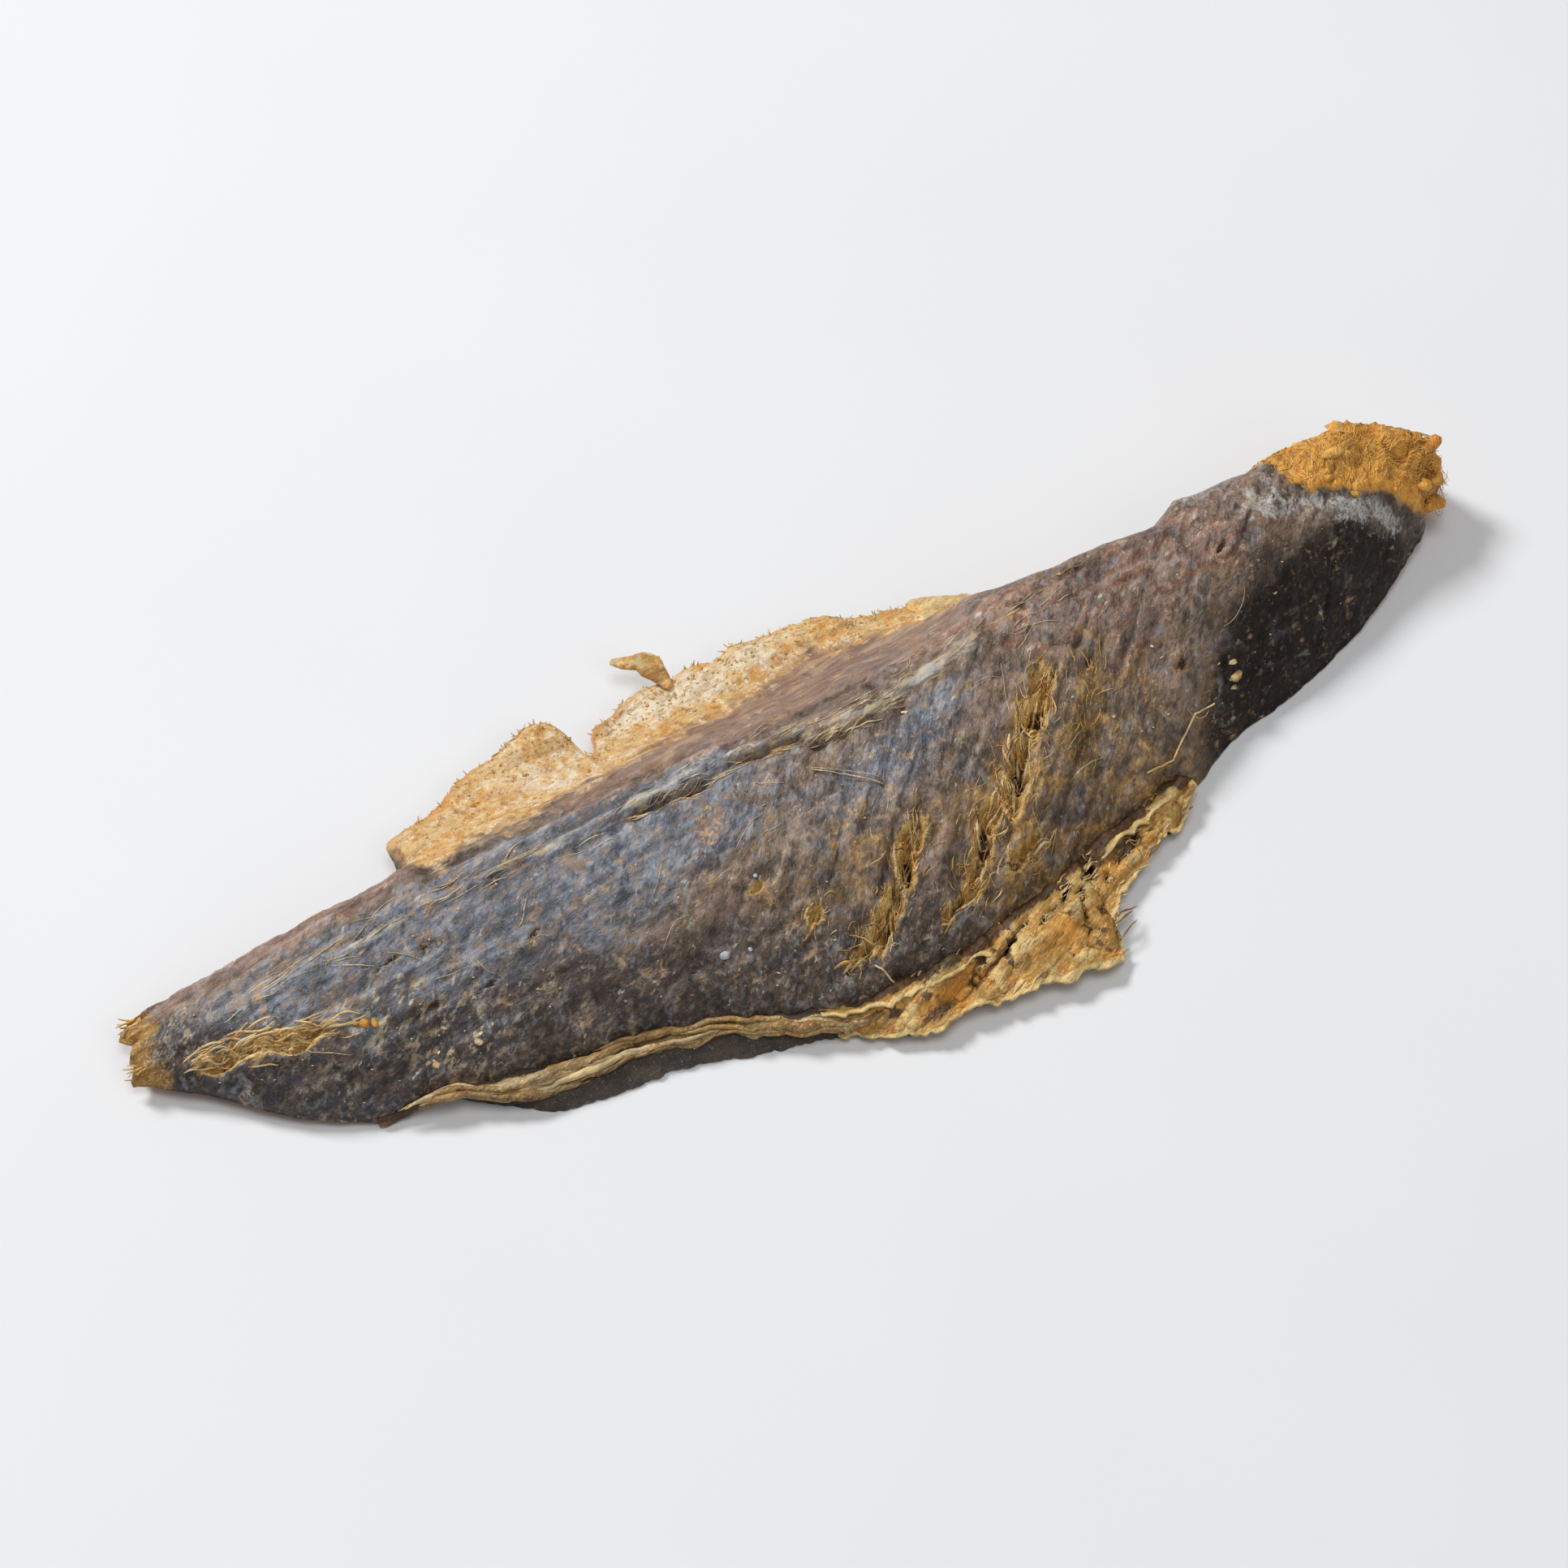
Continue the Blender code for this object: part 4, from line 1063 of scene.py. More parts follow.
def belly_band():
    x, y, t = grid_xy(-64.0, -4.0, 300, 30, lambda q: edge_near(q) + 2.2, lambda q: edge_near(q) - band_reach(q))
    off = edge_near(x) - y
    ends = smooth(-64.0, -57.0, x) * (1.0 - smooth(-9.0, -4.0, x))
    fibres = ridged(x * 0.03 + 0.3 * fbm(x * 0.06, 1.0, 123, 2), off * 0.50 + 0.025 * x + 0.3 * fbm(x * 0.1, 1.0, 122, 2), 124)
    z = 1.0 + 1.75 * ends - 0.42 * np.clip(off, -1, 4) + 0.50 * fibres + 0.18 * fbm(x * 0.25, off * 1.6, 125, 3) + lift_of(x)
    z = z - 0.8 * smooth(0.85, 1.0, t)
    z = np.where(off < -0.4, np.minimum(z, foot_of(x) - 1.0), z)
    low = 0.4 + 0.9 * ends + 0 * z + lift_of(x)
    # pale on the fibres' tops is painted highlight; dark under the skin's lip and between the fibres is painted shade
    pale = np.clip(0.5 + 0.5 * fibres, 0, 1) * smooth(-0.1, 0.8, off)
    dark = np.clip(1.0 - smooth(-0.2, 0.7, off) + 0.9 * (1.0 - smooth(-0.95, -0.5, fibres)), 0, 1)
    return place(closed_slab("belly_flesh_band", x, y, z, np.minimum(low, z - 0.3), flesh_band, {"m_pale_and_highlight": pale, "m_dark_and_shade": dark}))


def band_strands():
    rng = np.random.default_rng(11)
    paths, radii, tones = [], [], []
    for k in range(30):
        x0 = rng.uniform(-63.0, -14.0)
        length = rng.uniform(8.0, 24.0)
        xs = np.linspace(x0, min(x0 + length, 2.0), 30)
        t = np.linspace(0, 1, 30)
        q = np.clip(rng.uniform(0.0, 1.0) + rng.normal(0, 0.45) * (t - 0.5), -0.1, 1.08)
        off = q * band_reach(xs) + 0.35 * fbm(xs * 0.16, k * 3.1, 130 + k, 2)
        ys = edge_near(xs) - off
        zs = 2.65 + lift_of(xs) - 0.40 * off + 0.25 * fbm(xs * 0.25, k * 1.7, 160 + k, 2) + 0.35 * np.sin(math.pi * t)
        zs = zs * smooth(-66.0, -58.0, xs) + (1 - smooth(-66.0, -58.0, xs)) * 1.2
        taper = np.sin(np.clip(t, 0.02, 0.98) * math.pi) ** 0.45
        paths.append(np.stack([xs, ys, zs], -1))
        radii.append(rng.uniform(0.14, 0.55) * taper * (1 + 0.35 * noise(xs * 0.5, k, 133)))
        tones.append(rng.uniform(0.0, 1.0))
    verts, faces = tubes(paths, radii, 8)
    tone = np.repeat(np.array(tones), 30 * 8 + 2)
    pale = np.clip(0.9 * tone + 0.4 * noise(verts[:, 0] * 0.3, verts[:, 1] * 0.5, 135), 0, 1)
    dark = np.clip(0.55 - 1.4 * tone, 0, 1)
    return place(new_object("belly_strands", verts, faces, flesh_band, attributes={"m_pale_and_highlight": pale, "m_dark_and_shade": dark}))


# the flap's thin golden edge goes on along the far side
def far_lip():
    swell = lambda q: smooth(15.0, 25.0, q) * (1.0 - smooth(33.0, 47.0, q)) * (0.80 + 0.45 * fbm(q * 0.3, 1.0, 191, 3))
    grown = lambda q: smooth(0.0, 0.3, swell(q))
    x, y, t = grid_xy(15.0, 48.0, 240, 14, lambda q: skin_far(q) - 1.0,
                      lambda q: mix(skin_far(q) - 0.6, rim_far(q) + 1.6 * swell(q), smooth(0.0, 0.55, swell(q))))
    narrow = 1.0 - smooth(1.5, 6.0, rim_far(x) - skin_far(x))
    base = mix(top_of(x, np.minimum(y, rim_far(x) - 0.9)) - 0.35, curve(STATIONS, x, 4) * 0.5 - 0.5 - 0.9 * t, narrow)
    z = base + 0.25 * fbm(x * 0.4, y * 0.5, 193, 2) + 0.35 * swell(x) * smooth(0.6, 1.0, t) * noise(x * 0.35, 2.0, 195) - 0.8 * (1 - grown(x))
    thick = 0.30 + 0.5 * (1 - t)
    verts, faces, used = sheet(np.stack([x, y, z], -1), thick, np.ones((x.shape[0] - 1, x.shape[1] - 1), bool))
    pale = np.clip(0.45 + 0.6 * fbm(x * 0.5, y * 0.8, 197, 2) + 0.3 * t, 0, 1)
    both = lambda v: np.concatenate([v.ravel(), v.ravel()])[used]
    # dark along the inner edge, where it tucks under the skin: painted shade
    return place(new_object("far_lip", verts, faces, fibre_gold, attributes={"m_pale_and_highlight": both(pale), "m_dark_and_shade": both(0.5 * (1 - smooth(0.2, 0.6, t)))}))


# the torn belly wall towards the head end
HOLES = (  # x, y, half length, half width, turn
    (6.6, -32.8, 1.5, 0.55, 25.0), (15.6, -29.6, 1.3, 0.7, 50.0), (19.6, -27.8, 1.5, 0.9, 60.0), (16.4, -32.2, 1.0, 0.45, 70.0),
    (12.4, -31.4, 1.4, 0.35, 20.0), (1.6, -33.6, 1.8, 0.35, 24.0), (23.6, -28.2, 1.0, 0.35, 40.0), (14.8, -36.4, 0.5, 0.3, 80.0),
    (20.8, -30.0, 0.9, 0.6, 30.0), (17.2, -30.4, 0.7, 0.5, 10.0), (26.4, -26.6, 1.2, 0.4, 40.0), (9.4, -31.2, 0.8, 0.3, 20.0),
)


def hole_field(x, y):
    wx, wy = x + 0.35 * fbm(x * 1.1, y * 1.1, 141, 2), y + 0.35 * fbm(x * 1.1, y * 1.1, 143, 2)
    out = np.zeros_like(x)
    for cx, cy, ln, wd, turn in HOLES:
        out = np.maximum(out, spot(wx, wy, cx, cy, ln, wd, turn))
    return out


def flap_height(x, y, t):
    a, b = rotate(x, y, 25.0)
    big = ridged(a * 0.045 + 0.25 * fbm(x * 0.07, y * 0.07, 144, 2), b * 0.26, 145)
    mid = ridged(a * 0.09, b * 0.62 + 0.4 * fbm(a * 0.1, b * 0.2, 146, 2), 147)
    fine = noise(a * 0.28, b * 1.7, 149)
    base = mix(3.25, 1.25, smooth(0.12, 0.95, t)) + 0.25 * fbm(x * 0.16, y * 0.16, 148, 2)
    base = base + 0.34 * fbm(x * 0.55, y * 0.55, 151, 3) * smooth(0.1, 0.4, t)
    z = base + (0.36 * big + 0.20 * mid) * smooth(0.0, 0.3, t) * (0.5 + 0.5 * smooth(-14.0, -4.0, x)) + 0.14 * fine
    z = z + 0.20 * fbm(a * 0.45, b * 1.0, 153, 3) * smooth(0.0, 0.3, t) + 0.10 * fbm(x * 1.5, y * 1.5, 155, 2)
    z = z + 0.85 * smooth(0.72, 0.98, t) * smooth(-12.0, -4.0, x) * (1 - smooth(15.0, 19.0, x))
    z = z + 0.7 * smooth(0.6, 1.0, t) * smooth(17.0, 21.0, x) * (0.6 + 0.6 * noise(x * 0.5, 2.0, 150))
    return np.maximum(z + lift_of(x), 0.55), big, mid, fine


def torn_flap():
    x, y, t = grid_xy(-15.0, 36.5, 300, 74, lambda q: edge_near(q) + 2.6, lambda q: rag_rim(q))
    z, big, mid, fine = flap_height(x, y, t)
    z = np.where(edge_near(x) - y < -0.3, np.minimum(z, foot_of(x) - 0.9), z)
    pits = hole_field(x, y)
    z = z - 0.8 * smooth(0.15, 0.6, pits)
    cx = lambda a: 0.25 * (a[:-1, :-1] + a[1:, :-1] + a[1:, 1:] + a[:-1, 1:])
    keep = cx(pits) < 0.52
    rim = (curve(RAG_RIM, x) - y)
    thick = 0.30 + 0.75 * smooth(0.0, 0.25, 1 - t) * (0.6 + 0.4 * smooth(-0.5, 0.5, mid))
    verts, faces, used = sheet(np.stack([x, y, z], -1), thick, keep)
    off = edge_near(x) - y
    # pale on the big and small ridges is painted highlight; the random patches and the pale rim are the flesh's own
    # tone
    pale = np.clip(0.05 + 0.22 * big + 0.26 * mid + 0.75 * fbm(x * 0.55, y * 0.7, 157, 3) + 0.9 * smooth(0.90, 0.99, t), 0, 1)
    # dark at the holes, in the grooves and along the skin's edge is painted shade; the random patches are the flesh's
    # own tone
    dark = np.clip(1.3 * smooth(0.08, 0.4, pits) + 0.75 * smooth(0.35, 0.95, -mid) + 0.8 * smooth(0.5, 1.0, -big) * (1 - smooth(0.8, 0.95, t)) + (1 - smooth(-0.2, 0.9, off)) + 0.7 * smooth(0.25, 0.6, fbm(x * 0.7, y * 0.9, 159, 3)) * (1 - smooth(0.8, 0.95, t)), 0, 1)
    warm = np.clip(1.1 * spot(x, y, 11.8, -34.3, 4.6, 1.5, 14) + 0.9 * spot(x, y, -1.2, -34.2, 4.0, 1.3, 14) + 0.5 * spot(x, y, 22.0, -28.0, 3.0, 1.5, 40), 0, 1)
    both = lambda v: np.concatenate([v.ravel(), v.ravel()])[used]
    return place(new_object("belly_flap_torn", verts, faces, flesh_gold, attributes={"m_pale_and_highlight": both(pale), "m_dark_and_shade": both(dark), "m_warm": both(warm)}))


def flap_shade_lining():
    """A dark flesh-coloured sheet under the torn wall: painted shade that makes the holes read as dark hollows."""
    x, y, t = grid_xy(-11.0, 33.0, 150, 24, lambda q: edge_near(q) + 2.0, lambda q: mix(edge_near(q), rag_rim(q), 0.80))
    z = mix(1.7, 0.7, t) + 0.35 * ridged(x * 0.2, y * 0.6, 171) + 0.15 * fbm(x * 0.6, y * 0.9, 173, 2) + lift_of(x)
    low = 0.05 + 0 * z
    return place(closed_slab("belly_shade_lining", x, y, np.maximum(z, 0.3), low, flesh_hole_shade, {"m_pale_and_highlight": np.clip(-0.1 + 0.5 * noise(x * 0.5, y * 0.9, 175), 0, 1), "m_dark_and_shade": 0.25 + 0 * z}))


def lip_fold():
    """A second, golden lip below the skin's own edge."""
    reach = lambda q: 0.35 + 0.75 * (1 + noise(q * 0.16, 2.0, 181)) * smooth(-16.0, -9.0, q) + 0.45 * ridged(q * 0.4, 5.0, 183)
    x, y, t = grid_xy(-16.0, 33.0, 280, 20, lambda q: edge_near(q) + 1.6, lambda q: edge_near(q) - np.maximum(reach(q), 0.15))
    z = foot_of(x) - 0.62 + 0.30 * noise(x * 0.35, y * 0.9, 185) + 0.35 * smooth(0.6, 1.0, t) + 0.25 * ridged(x * 0.1, y * 1.1, 187) * smooth(0.2, 0.5, t)
    z = np.where(t < 0.35, np.minimum(z, foot_of(x) - 0.75), z)
    thick = 0.28 + 0.45 * (1 - t)
    verts, faces, used = sheet(np.stack([x, y, z], -1), thick, np.ones((x.shape[0] - 1, x.shape[1] - 1), bool))
    # pale towards the outer edge is the flesh's own tone; dark towards the inner edge under the skin's lip is painted
    # shadow
    pale = np.clip(0.2 + 0.9 * smooth(0.7, 0.98, t), 0, 1)
    dark = np.clip(1 - smooth(0.3, 0.6, t), 0, 1)
    both = lambda v: np.concatenate([v.ravel(), v.ravel()])[used]
    return place(new_object("lip_fold", verts, faces, flesh_gold, attributes={"m_pale_and_highlight": both(pale), "m_dark_and_shade": both(dark)}))


folded_skin_shaded()
far_lip()
belly_band()
band_strands()
torn_flap()
flap_shade_lining()
lip_fold()

# ------------------------------------------------------------------ fibres, shreds, bones, flakes
def strand(rng, x, y, turn, length, curl=0.5, rise=0.25, sink=0.06, points=12, bridge=0.0, on="skin"):
    """A loose fibre on the fish: its way in plan, its height over the ground, and which ground."""
    t = np.linspace(0, 1, points)
    heading = math.radians(turn) + curl * (t - 0.5) + 0.35 * noise(t * 2.5, rng.uniform(0, 99), 7)
    step = length / (points - 1)
    px = x + np.concatenate([[0], np.cumsum(np.cos(heading[:-1]))]) * step
    py = y + np.concatenate([[0], np.cumsum(np.sin(heading[:-1]))]) * step
    return px, py, rise * np.sin(math.pi * t) - sink + 0.06 * noise(t * 4.0, rng.uniform(0, 99), 9), bridge, on


def laid(paths):
    """Gives every fibre its heights; paths that already have three coordinates stay."""
    loose = [k for k, q in enumerate(paths) if isinstance(q, tuple)]
    out = list(paths)
    for ground in ("skin", "flap"):
        own = [k for k in loose if paths[k][4] == ground]
        if not own:
            continue
        px, py = np.concatenate([paths[k][0] for k in own]), np.concatenate([paths[k][1] for k in own])
        bridge = np.concatenate([np.full(len(paths[k][0]), paths[k][3]) for k in own])
        z = mix(top_of(px, py), smooth_top(px, py) + 0.1, bridge) if ground == "skin" else flap_point(px, py)
        z = z + np.concatenate([paths[k][2] for k in own])
        at = 0
        for k in own:
            n = len(paths[k][0])
            out[k] = np.stack([px[at:at + n], py[at:at + n], z[at:at + n]], -1)
            at += n
    return out


def bundle(name, paths, radii, material, tones, sides=6, dark=None):
    """Many tubes as one piece, each with its own tone."""
    paths = laid(paths)
    verts, faces = tubes(paths, radii, sides)
    counts = [len(q) * sides + 2 for q in paths]
    pale = np.repeat(np.asarray(tones, float), counts) + 0.25 * noise(verts[:, 0] * 0.8, verts[:, 1] * 0.8, 201)
    low = np.repeat(np.zeros(len(paths)) if dark is None else np.asarray(dark, float), counts)
    return place(new_object(name, verts, faces, material, attributes={"m_pale_and_highlight": np.clip(pale, 0, 1), "m_dark_and_shade": np.clip(low, 0, 1)}))


def scatter(name, places, material, seed, flat=0.5, rough=0.3, tones=(0.2, 0.9)):
    """Crumbs as one piece: each place is x, y, z, size."""
    rng = np.random.default_rng(seed)
    verts, faces, pale, base = [], [], [], 0
    for x, y, z, size in places:
        v, f = pebble(rng, np.array([size * rng.uniform(0.8, 1.5), size * rng.uniform(0.6, 1.0), size]), flat, rough)
        verts.append(v + np.array([x, y, z]))
        faces.extend([[q + base for q in face] for face in f])
        pale.append(np.full(len(v), rng.uniform(*tones)))
        base += len(v)
    pale = np.concatenate(pale)
    return place(new_object(name, np.concatenate(verts), faces, material, attributes={"m_pale_and_highlight": pale, "m_dark_and_shade": 0 * pale}))


def taper(rng, low, high, points=12, sharp=0.6):
    t = np.linspace(0, 1, points)
    return rng.uniform(low, high) * np.sin(np.clip(t, 0.03, 0.97) * math.pi) ** sharp


def tear_shreds():
    rng = np.random.default_rng(21)
    paths, radii, tones, dark = [], [], [], []
    for cx, cy, ln, wd, turn, depth in TEARS:
        if wd < 0.6 or cx < -60:
            continue
        for _ in range(int(5 + 4 * ln)):
            u, v = rng.uniform(-1.2, 1.2) * ln, rng.choice((-1.0, 1.0)) * rng.uniform(0.25 if depth > 1.2 else 0.0, 1.4) * wd
            c, q = math.cos(math.radians(turn)), math.sin(math.radians(turn))
            x, y = cx + u * c - v * q, cy + u * q + v * c
            length = rng.uniform(0.5, 1.0) ** 1.5 * 4.4
            head = turn + rng.normal(0, 20)
            paths.append(strand(rng, x - 0.5 * length * math.cos(math.radians(head)), y - 0.5 * length * math.sin(math.radians(head)),
                                head, length, rng.normal(0, 0.5), rng.uniform(0.0, 0.22), 0.12, 14, rng.uniform(0.0, 0.35)))
            radii.append(taper(rng, 0.04, 0.20, 14, 0.6) * (1 + 0.3 * noise(np.linspace(0, 5, 14), rng.uniform(0, 50), 5)))
            tones.append(rng.uniform(-0.3, 1.1))
            dark.append(0.8 if rng.random() < 0.22 else 0.0)
        for _ in range(int(8 + 4 * ln)):   # fine hairs across
            x, y = cx + rng.normal(0, 0.8) * ln, cy + rng.normal(0, 0.8) * ln
            paths.append(strand(rng, x, y, 46 + rng.normal(0, 25), rng.uniform(0.8, 3.0), rng.normal(0, 0.8), rng.uniform(0.0, 0.2), 0.04, 10, rng.uniform(0.0, 0.4)))
            radii.append(taper(rng, 0.03, 0.08, 10, 0.4))
            tones.append(rng.uniform(0.0, 1.2))
            dark.append(0.0)
    for k, line in enumerate(FURROWS):
        pts = np.array(line)
        for _ in range((60, 40, 22)[k]):
            j = rng.integers(0, len(pts) - 1)
            q = rng.random()
            x, y = pts[j] * (1 - q) + pts[j + 1] * q + rng.normal(0, 1.3, 2)
            paths.append(strand(rng, x, y, 50 + rng.normal(0, 22), rng.uniform(0.8, 3.4), rng.normal(0, 0.7), rng.uniform(0.0, 0.12), 0.05, 10, rng.uniform(0.0, 0.3)))
            radii.append(taper(rng, 0.03, 0.10, 10, 0.5))
            tones.append(rng.uniform(-0.3, 0.8))
            dark.append(0.6 if rng.random() < 0.2 else 0.0)
    return bundle("tear_shreds", paths, radii, fibre_gold, tones, 6, dark)


def crease_fibres():
    rng = np.random.default_rng(22)
    paths, radii, tones = [], [], []
    for _ in range(90):
        x = rng.uniform(-76.0, 34.0)
        y = float(curve(CREASE, x)) + rng.normal(0, 1.0)
        paths.append(strand(rng, x, y, 4.0 + 10.0 * (x > 4) + rng.normal(0, 7), rng.uniform(2.0, 7.5), rng.normal(0, 0.25), rng.uniform(0.02, 0.12), 0.03))
        radii.append(taper(rng, 0.035, 0.085))
        tones.append(rng.uniform(0.3, 1.2))
    for _ in range(60):
        x = rng.uniform(-27.0, 8.0)
        y = float(curve(CRACK, x)) + rng.normal(0, 0.55)
        paths.append(strand(rng, x, y, rng.normal(2, 12), rng.uniform(1.0, 4.0), rng.normal(0, 0.4), rng.uniform(0.0, 0.1), 0.03, 12, 0.25))
        radii.append(taper(rng, 0.04, 0.12))
        tones.append(rng.uniform(-0.4, 0.6))
    return bundle("crease_fibres", paths, radii, fibre_pale, tones)


def hair_bones():
    rng = np.random.default_rng(23)
    paths, radii = [], []
    a, b = np.array([-5.0, -8.1]), np.array([1.3, -12.9])
    t = np.linspace(0, 1, 14)
    for da, db in ((0.0, 0.0), (0.25, 0.9)):
        x, y = a[0] + (b[0] - a[0]) * t + 0.15 * np.sin(3 * t), a[1] + (b[1] - a[1]) * t + da + (db - da) * t
        paths.append(np.stack([x, y, top_of(x, y) + 0.16 + 0.30 * np.sin(math.pi * t)], -1))
        radii.append(np.full(14, 0.075 if da == 0 else 0.05))
    for _ in range(26):
        x, y = rng.uniform(-60.0, 50.0), rng.uniform(-20.0, 1.0)
        if y < float(edge_near(x)) + 2.0:
            continue
        paths.append(strand(rng, x, y, rng.choice((10.0, 46.0, -30.0)) + rng.normal(0, 14), rng.uniform(2.0, 6.0), rng.normal(0, 0.9), rng.uniform(0.05, 0.35), 0.03, 14))
        radii.append(taper(rng, 0.028, 0.05, 14, 0.3))
    return bundle("hair_bones", paths, radii, fibre_pale, np.full(len(paths), 0.75))


def flap_point(x, y):
    """Height of the torn belly wall's upper side."""
    inner, outer = edge_near(x) + 2.6, rag_rim(x)
    t = np.clip((inner - y) / (inner - outer), 0, 1)
    return flap_height(x, y, t)[0] + 0.25


def edge_fibres():
    rng = np.random.default_rng(24)
    paths, radii, tones, dark = [], [], [], []
    for _ in range(280):
        x = rng.uniform(-8.0, 33.0)
        inner, outer = float(edge_near(x)), float(rag_rim(x))
        y = inner + (outer - inner) * rng.uniform(0.05, 0.97)
        paths.append(strand(rng, x, y, 24 + rng.normal(0, 16), rng.uniform(1.0, 4.2), rng.normal(0, 0.4), rng.uniform(0.0, 0.14), 0.12, 12, 0.0, "flap"))
        radii.append(taper(rng, 0.04, 0.17, 12, 0.5))
        tones.append(rng.uniform(-0.3, 1.1))
        dark.append(0.6 if rng.random() < 0.2 else 0.0)
    for hx, hy, hl, hw, turn in HOLES:   # pale fluff at the holes
        for _ in range(10):
            x, y = hx + rng.normal(0, 1.2), hy + rng.normal(0, 0.9)
            paths.append(strand(rng, x, y, 24 + rng.normal(0, 35), rng.uniform(0.6, 1.8), rng.normal(0, 0.8), rng.uniform(0.05, 0.25), 0.08, 12, 0.0, "flap"))
            radii.append(taper(rng, 0.04, 0.14, 12, 0.5))
            tones.append(rng.uniform(0.3, 1.3))
            dark.append(0.0)
    for _ in range(60):   # frayed ends past the rim
        x = rng.uniform(-8.0, 36.0)
        if 14.5 < x < 21.5:
            continue
        y = float(rag_rim(x)) + 0.25
        z = float(flap_point(np.array(x), np.array(y + 0.4)))
        length = rng.uniform(0.3, 1.0) ** 2 * 0.9
        head = math.radians(-90 + 60 * smooth(16.0, 20.0, x) + rng.normal(0, 55))
        t = np.linspace(0, 1, 10)
        px, py = x - 0.4 * math.cos(head) + length * t * math.cos(head), y + 0.6 + length * t * math.sin(head)
        paths.append(np.stack([px, py, np.maximum(z - 0.45 - 0.5 * t * length, 0.12)], -1))
        radii.append(rng.uniform(0.05, 0.16) * (1 - 0.7 * t))
        tones.append(rng.uniform(0.2, 1.1))
        dark.append(0.0)
    for pts in (((-8.6, -29.4), (-7.4, -30.9), (-6.0, -31.6), (-4.5, -31.6)), ((31.0, -21.4), (35.0, -20.6), (40.0, -17.0), (43.0, -16.4))):
        p = np.array(pts)
        t = np.linspace(0, len(p) - 1, 16)
        px, py = np.interp(t, range(len(p)), p[:, 0]), np.interp(t, range(len(p)), p[:, 1])
        paths.append(np.stack([px, py, np.maximum(top_of(px, np.maximum(py, edge_near(px) + 0.3)), 2.0) + 0.35], -1))
        radii.append(np.full(16, 0.12))
        tones.append(0.8)
        dark.append(0.0)
    return bundle("edge_fibres", paths, radii, fibre_gold, tones, 6, dark)


def tail_fibres():
    rng = np.random.default_rng(25)
    paths, radii, tones, dark = [], [], [], []
    for _ in range(90):   # golden bundle along the tail's lower side
        q = rng.uniform(0, 1)
        x, y = mix(-81.0, -66.0, q), mix(-4.3, -9.2, q) + rng.normal(0, 0.75)
        paths.append(strand(rng, x, y, -17 + rng.normal(0, 8), rng.uniform(2.0, 7.0), rng.normal(0, 0.25), rng.uniform(0.0, 0.16), 0.10))
        radii.append(taper(rng, 0.05, 0.19, 12, 0.5))
        tones.append(rng.uniform(0.1, 1.3))
        dark.append(0.6 if rng.random() < 0.15 else 0.0)
    for _ in range(60):   # frayed flesh of the stub
        y = rng.uniform(-3.0, 4.6)
        back = 2.6 * math.exp(-((y - 1.4) / 0.9) ** 2) + 1.4 * float(smooth(1.0, 5.0, y))
        t = np.linspace(0, 1, 9)
        z0 = float(lift_of(-84.0)) + rng.uniform(0.3, 2.2)
        x0 = -83.6 + back + rng.uniform(-0.2, 1.0)
        length = rng.uniform(0.8, 2.6)
        paths.append(np.stack([x0 - length * t, y + 0.5 * rng.normal() * t * t, z0 + rng.normal(0, 0.4) * t], -1))
        radii.append(rng.uniform(0.10, 0.32) * (1 - 0.75 * t))
        tones.append(rng.uniform(-0.2, 0.9))
        dark.append(0.6 if rng.random() < 0.2 else 0.0)
    return bundle("tail_fibres", paths, radii, fibre_gold, tones, 6, dark)


def inside_head(rng, count, low=0.5, inset=0.1):
    x, y = rng.uniform(60.0, 84.5, count * 6), rng.uniform(-5.5, 10.5, count * 6)
    fine = (head_flesh(x, y) > low) & (y < rim_far(x) - inset)
    return x[fine][:count], y[fine][:count]


def head_fluff():
    rng = np.random.default_rng(26)
    paths, radii, tones, dark = [], [], [], []
    for x, y in zip(*inside_head(rng, 1500, 0.40, 1.2)):
        turn = 38 + 40 * float(noise(x * 0.18, y * 0.22, 67)) + rng.normal(0, 24)
        room = float(skin_far(x)) - 0.5 - y
        if room < 0.1 or x > 83.0:
            continue
        length = min(rng.uniform(0.7, 2.4), 0.4 + 1.2 * room, 0.5 + 84.5 - x)
        paths.append(strand(rng, x, y, turn, length, rng.normal(0, 0.7), rng.uniform(0.0, 0.2), 0.05, 7))
        radii.append(taper(rng, 0.025, 0.085, 7, 0.5))
        tones.append(rng.uniform(-0.4, 1.2))
        dark.append(0.4 if rng.random() < 0.08 else 0.0)
    return bundle("head_fluff", paths, radii, flesh_orange, tones, 5, dark)


def head_lumps():
    rng = np.random.default_rng(27)
    x, y = inside_head(rng, 22, 0.8, 2.6)
    size = rng.uniform(0.6, 1.6, len(x))
    z = top_of(x, y) - 0.55 * size
    return scatter("head_lumps", list(zip(x, y, z, size)), flesh_orange, 28, 0.5, 0.6, (-0.6, 0.6))


def flap_grains():
    rng = np.random.default_rng(29)
    x = rng.uniform(-48.0, 25.0, 1400)
    far, start = rim_far(x), curve(GOLD_START, x)
    y = start + (far - 0.2 - start) * rng.uniform(0.05, 1.0, 1400) ** 0.7
    fine = far > skin_far(x) + 2.5
    x, y = x[fine][:760], y[fine][:760]
    size = rng.uniform(0.08, 0.26, len(x))
    return scatter("flap_grains", list(zip(x, y, top_of(x, y) - 0.03, size)), fibre_gold, 30, 0.45, 0.45, (-0.7, 1.3))


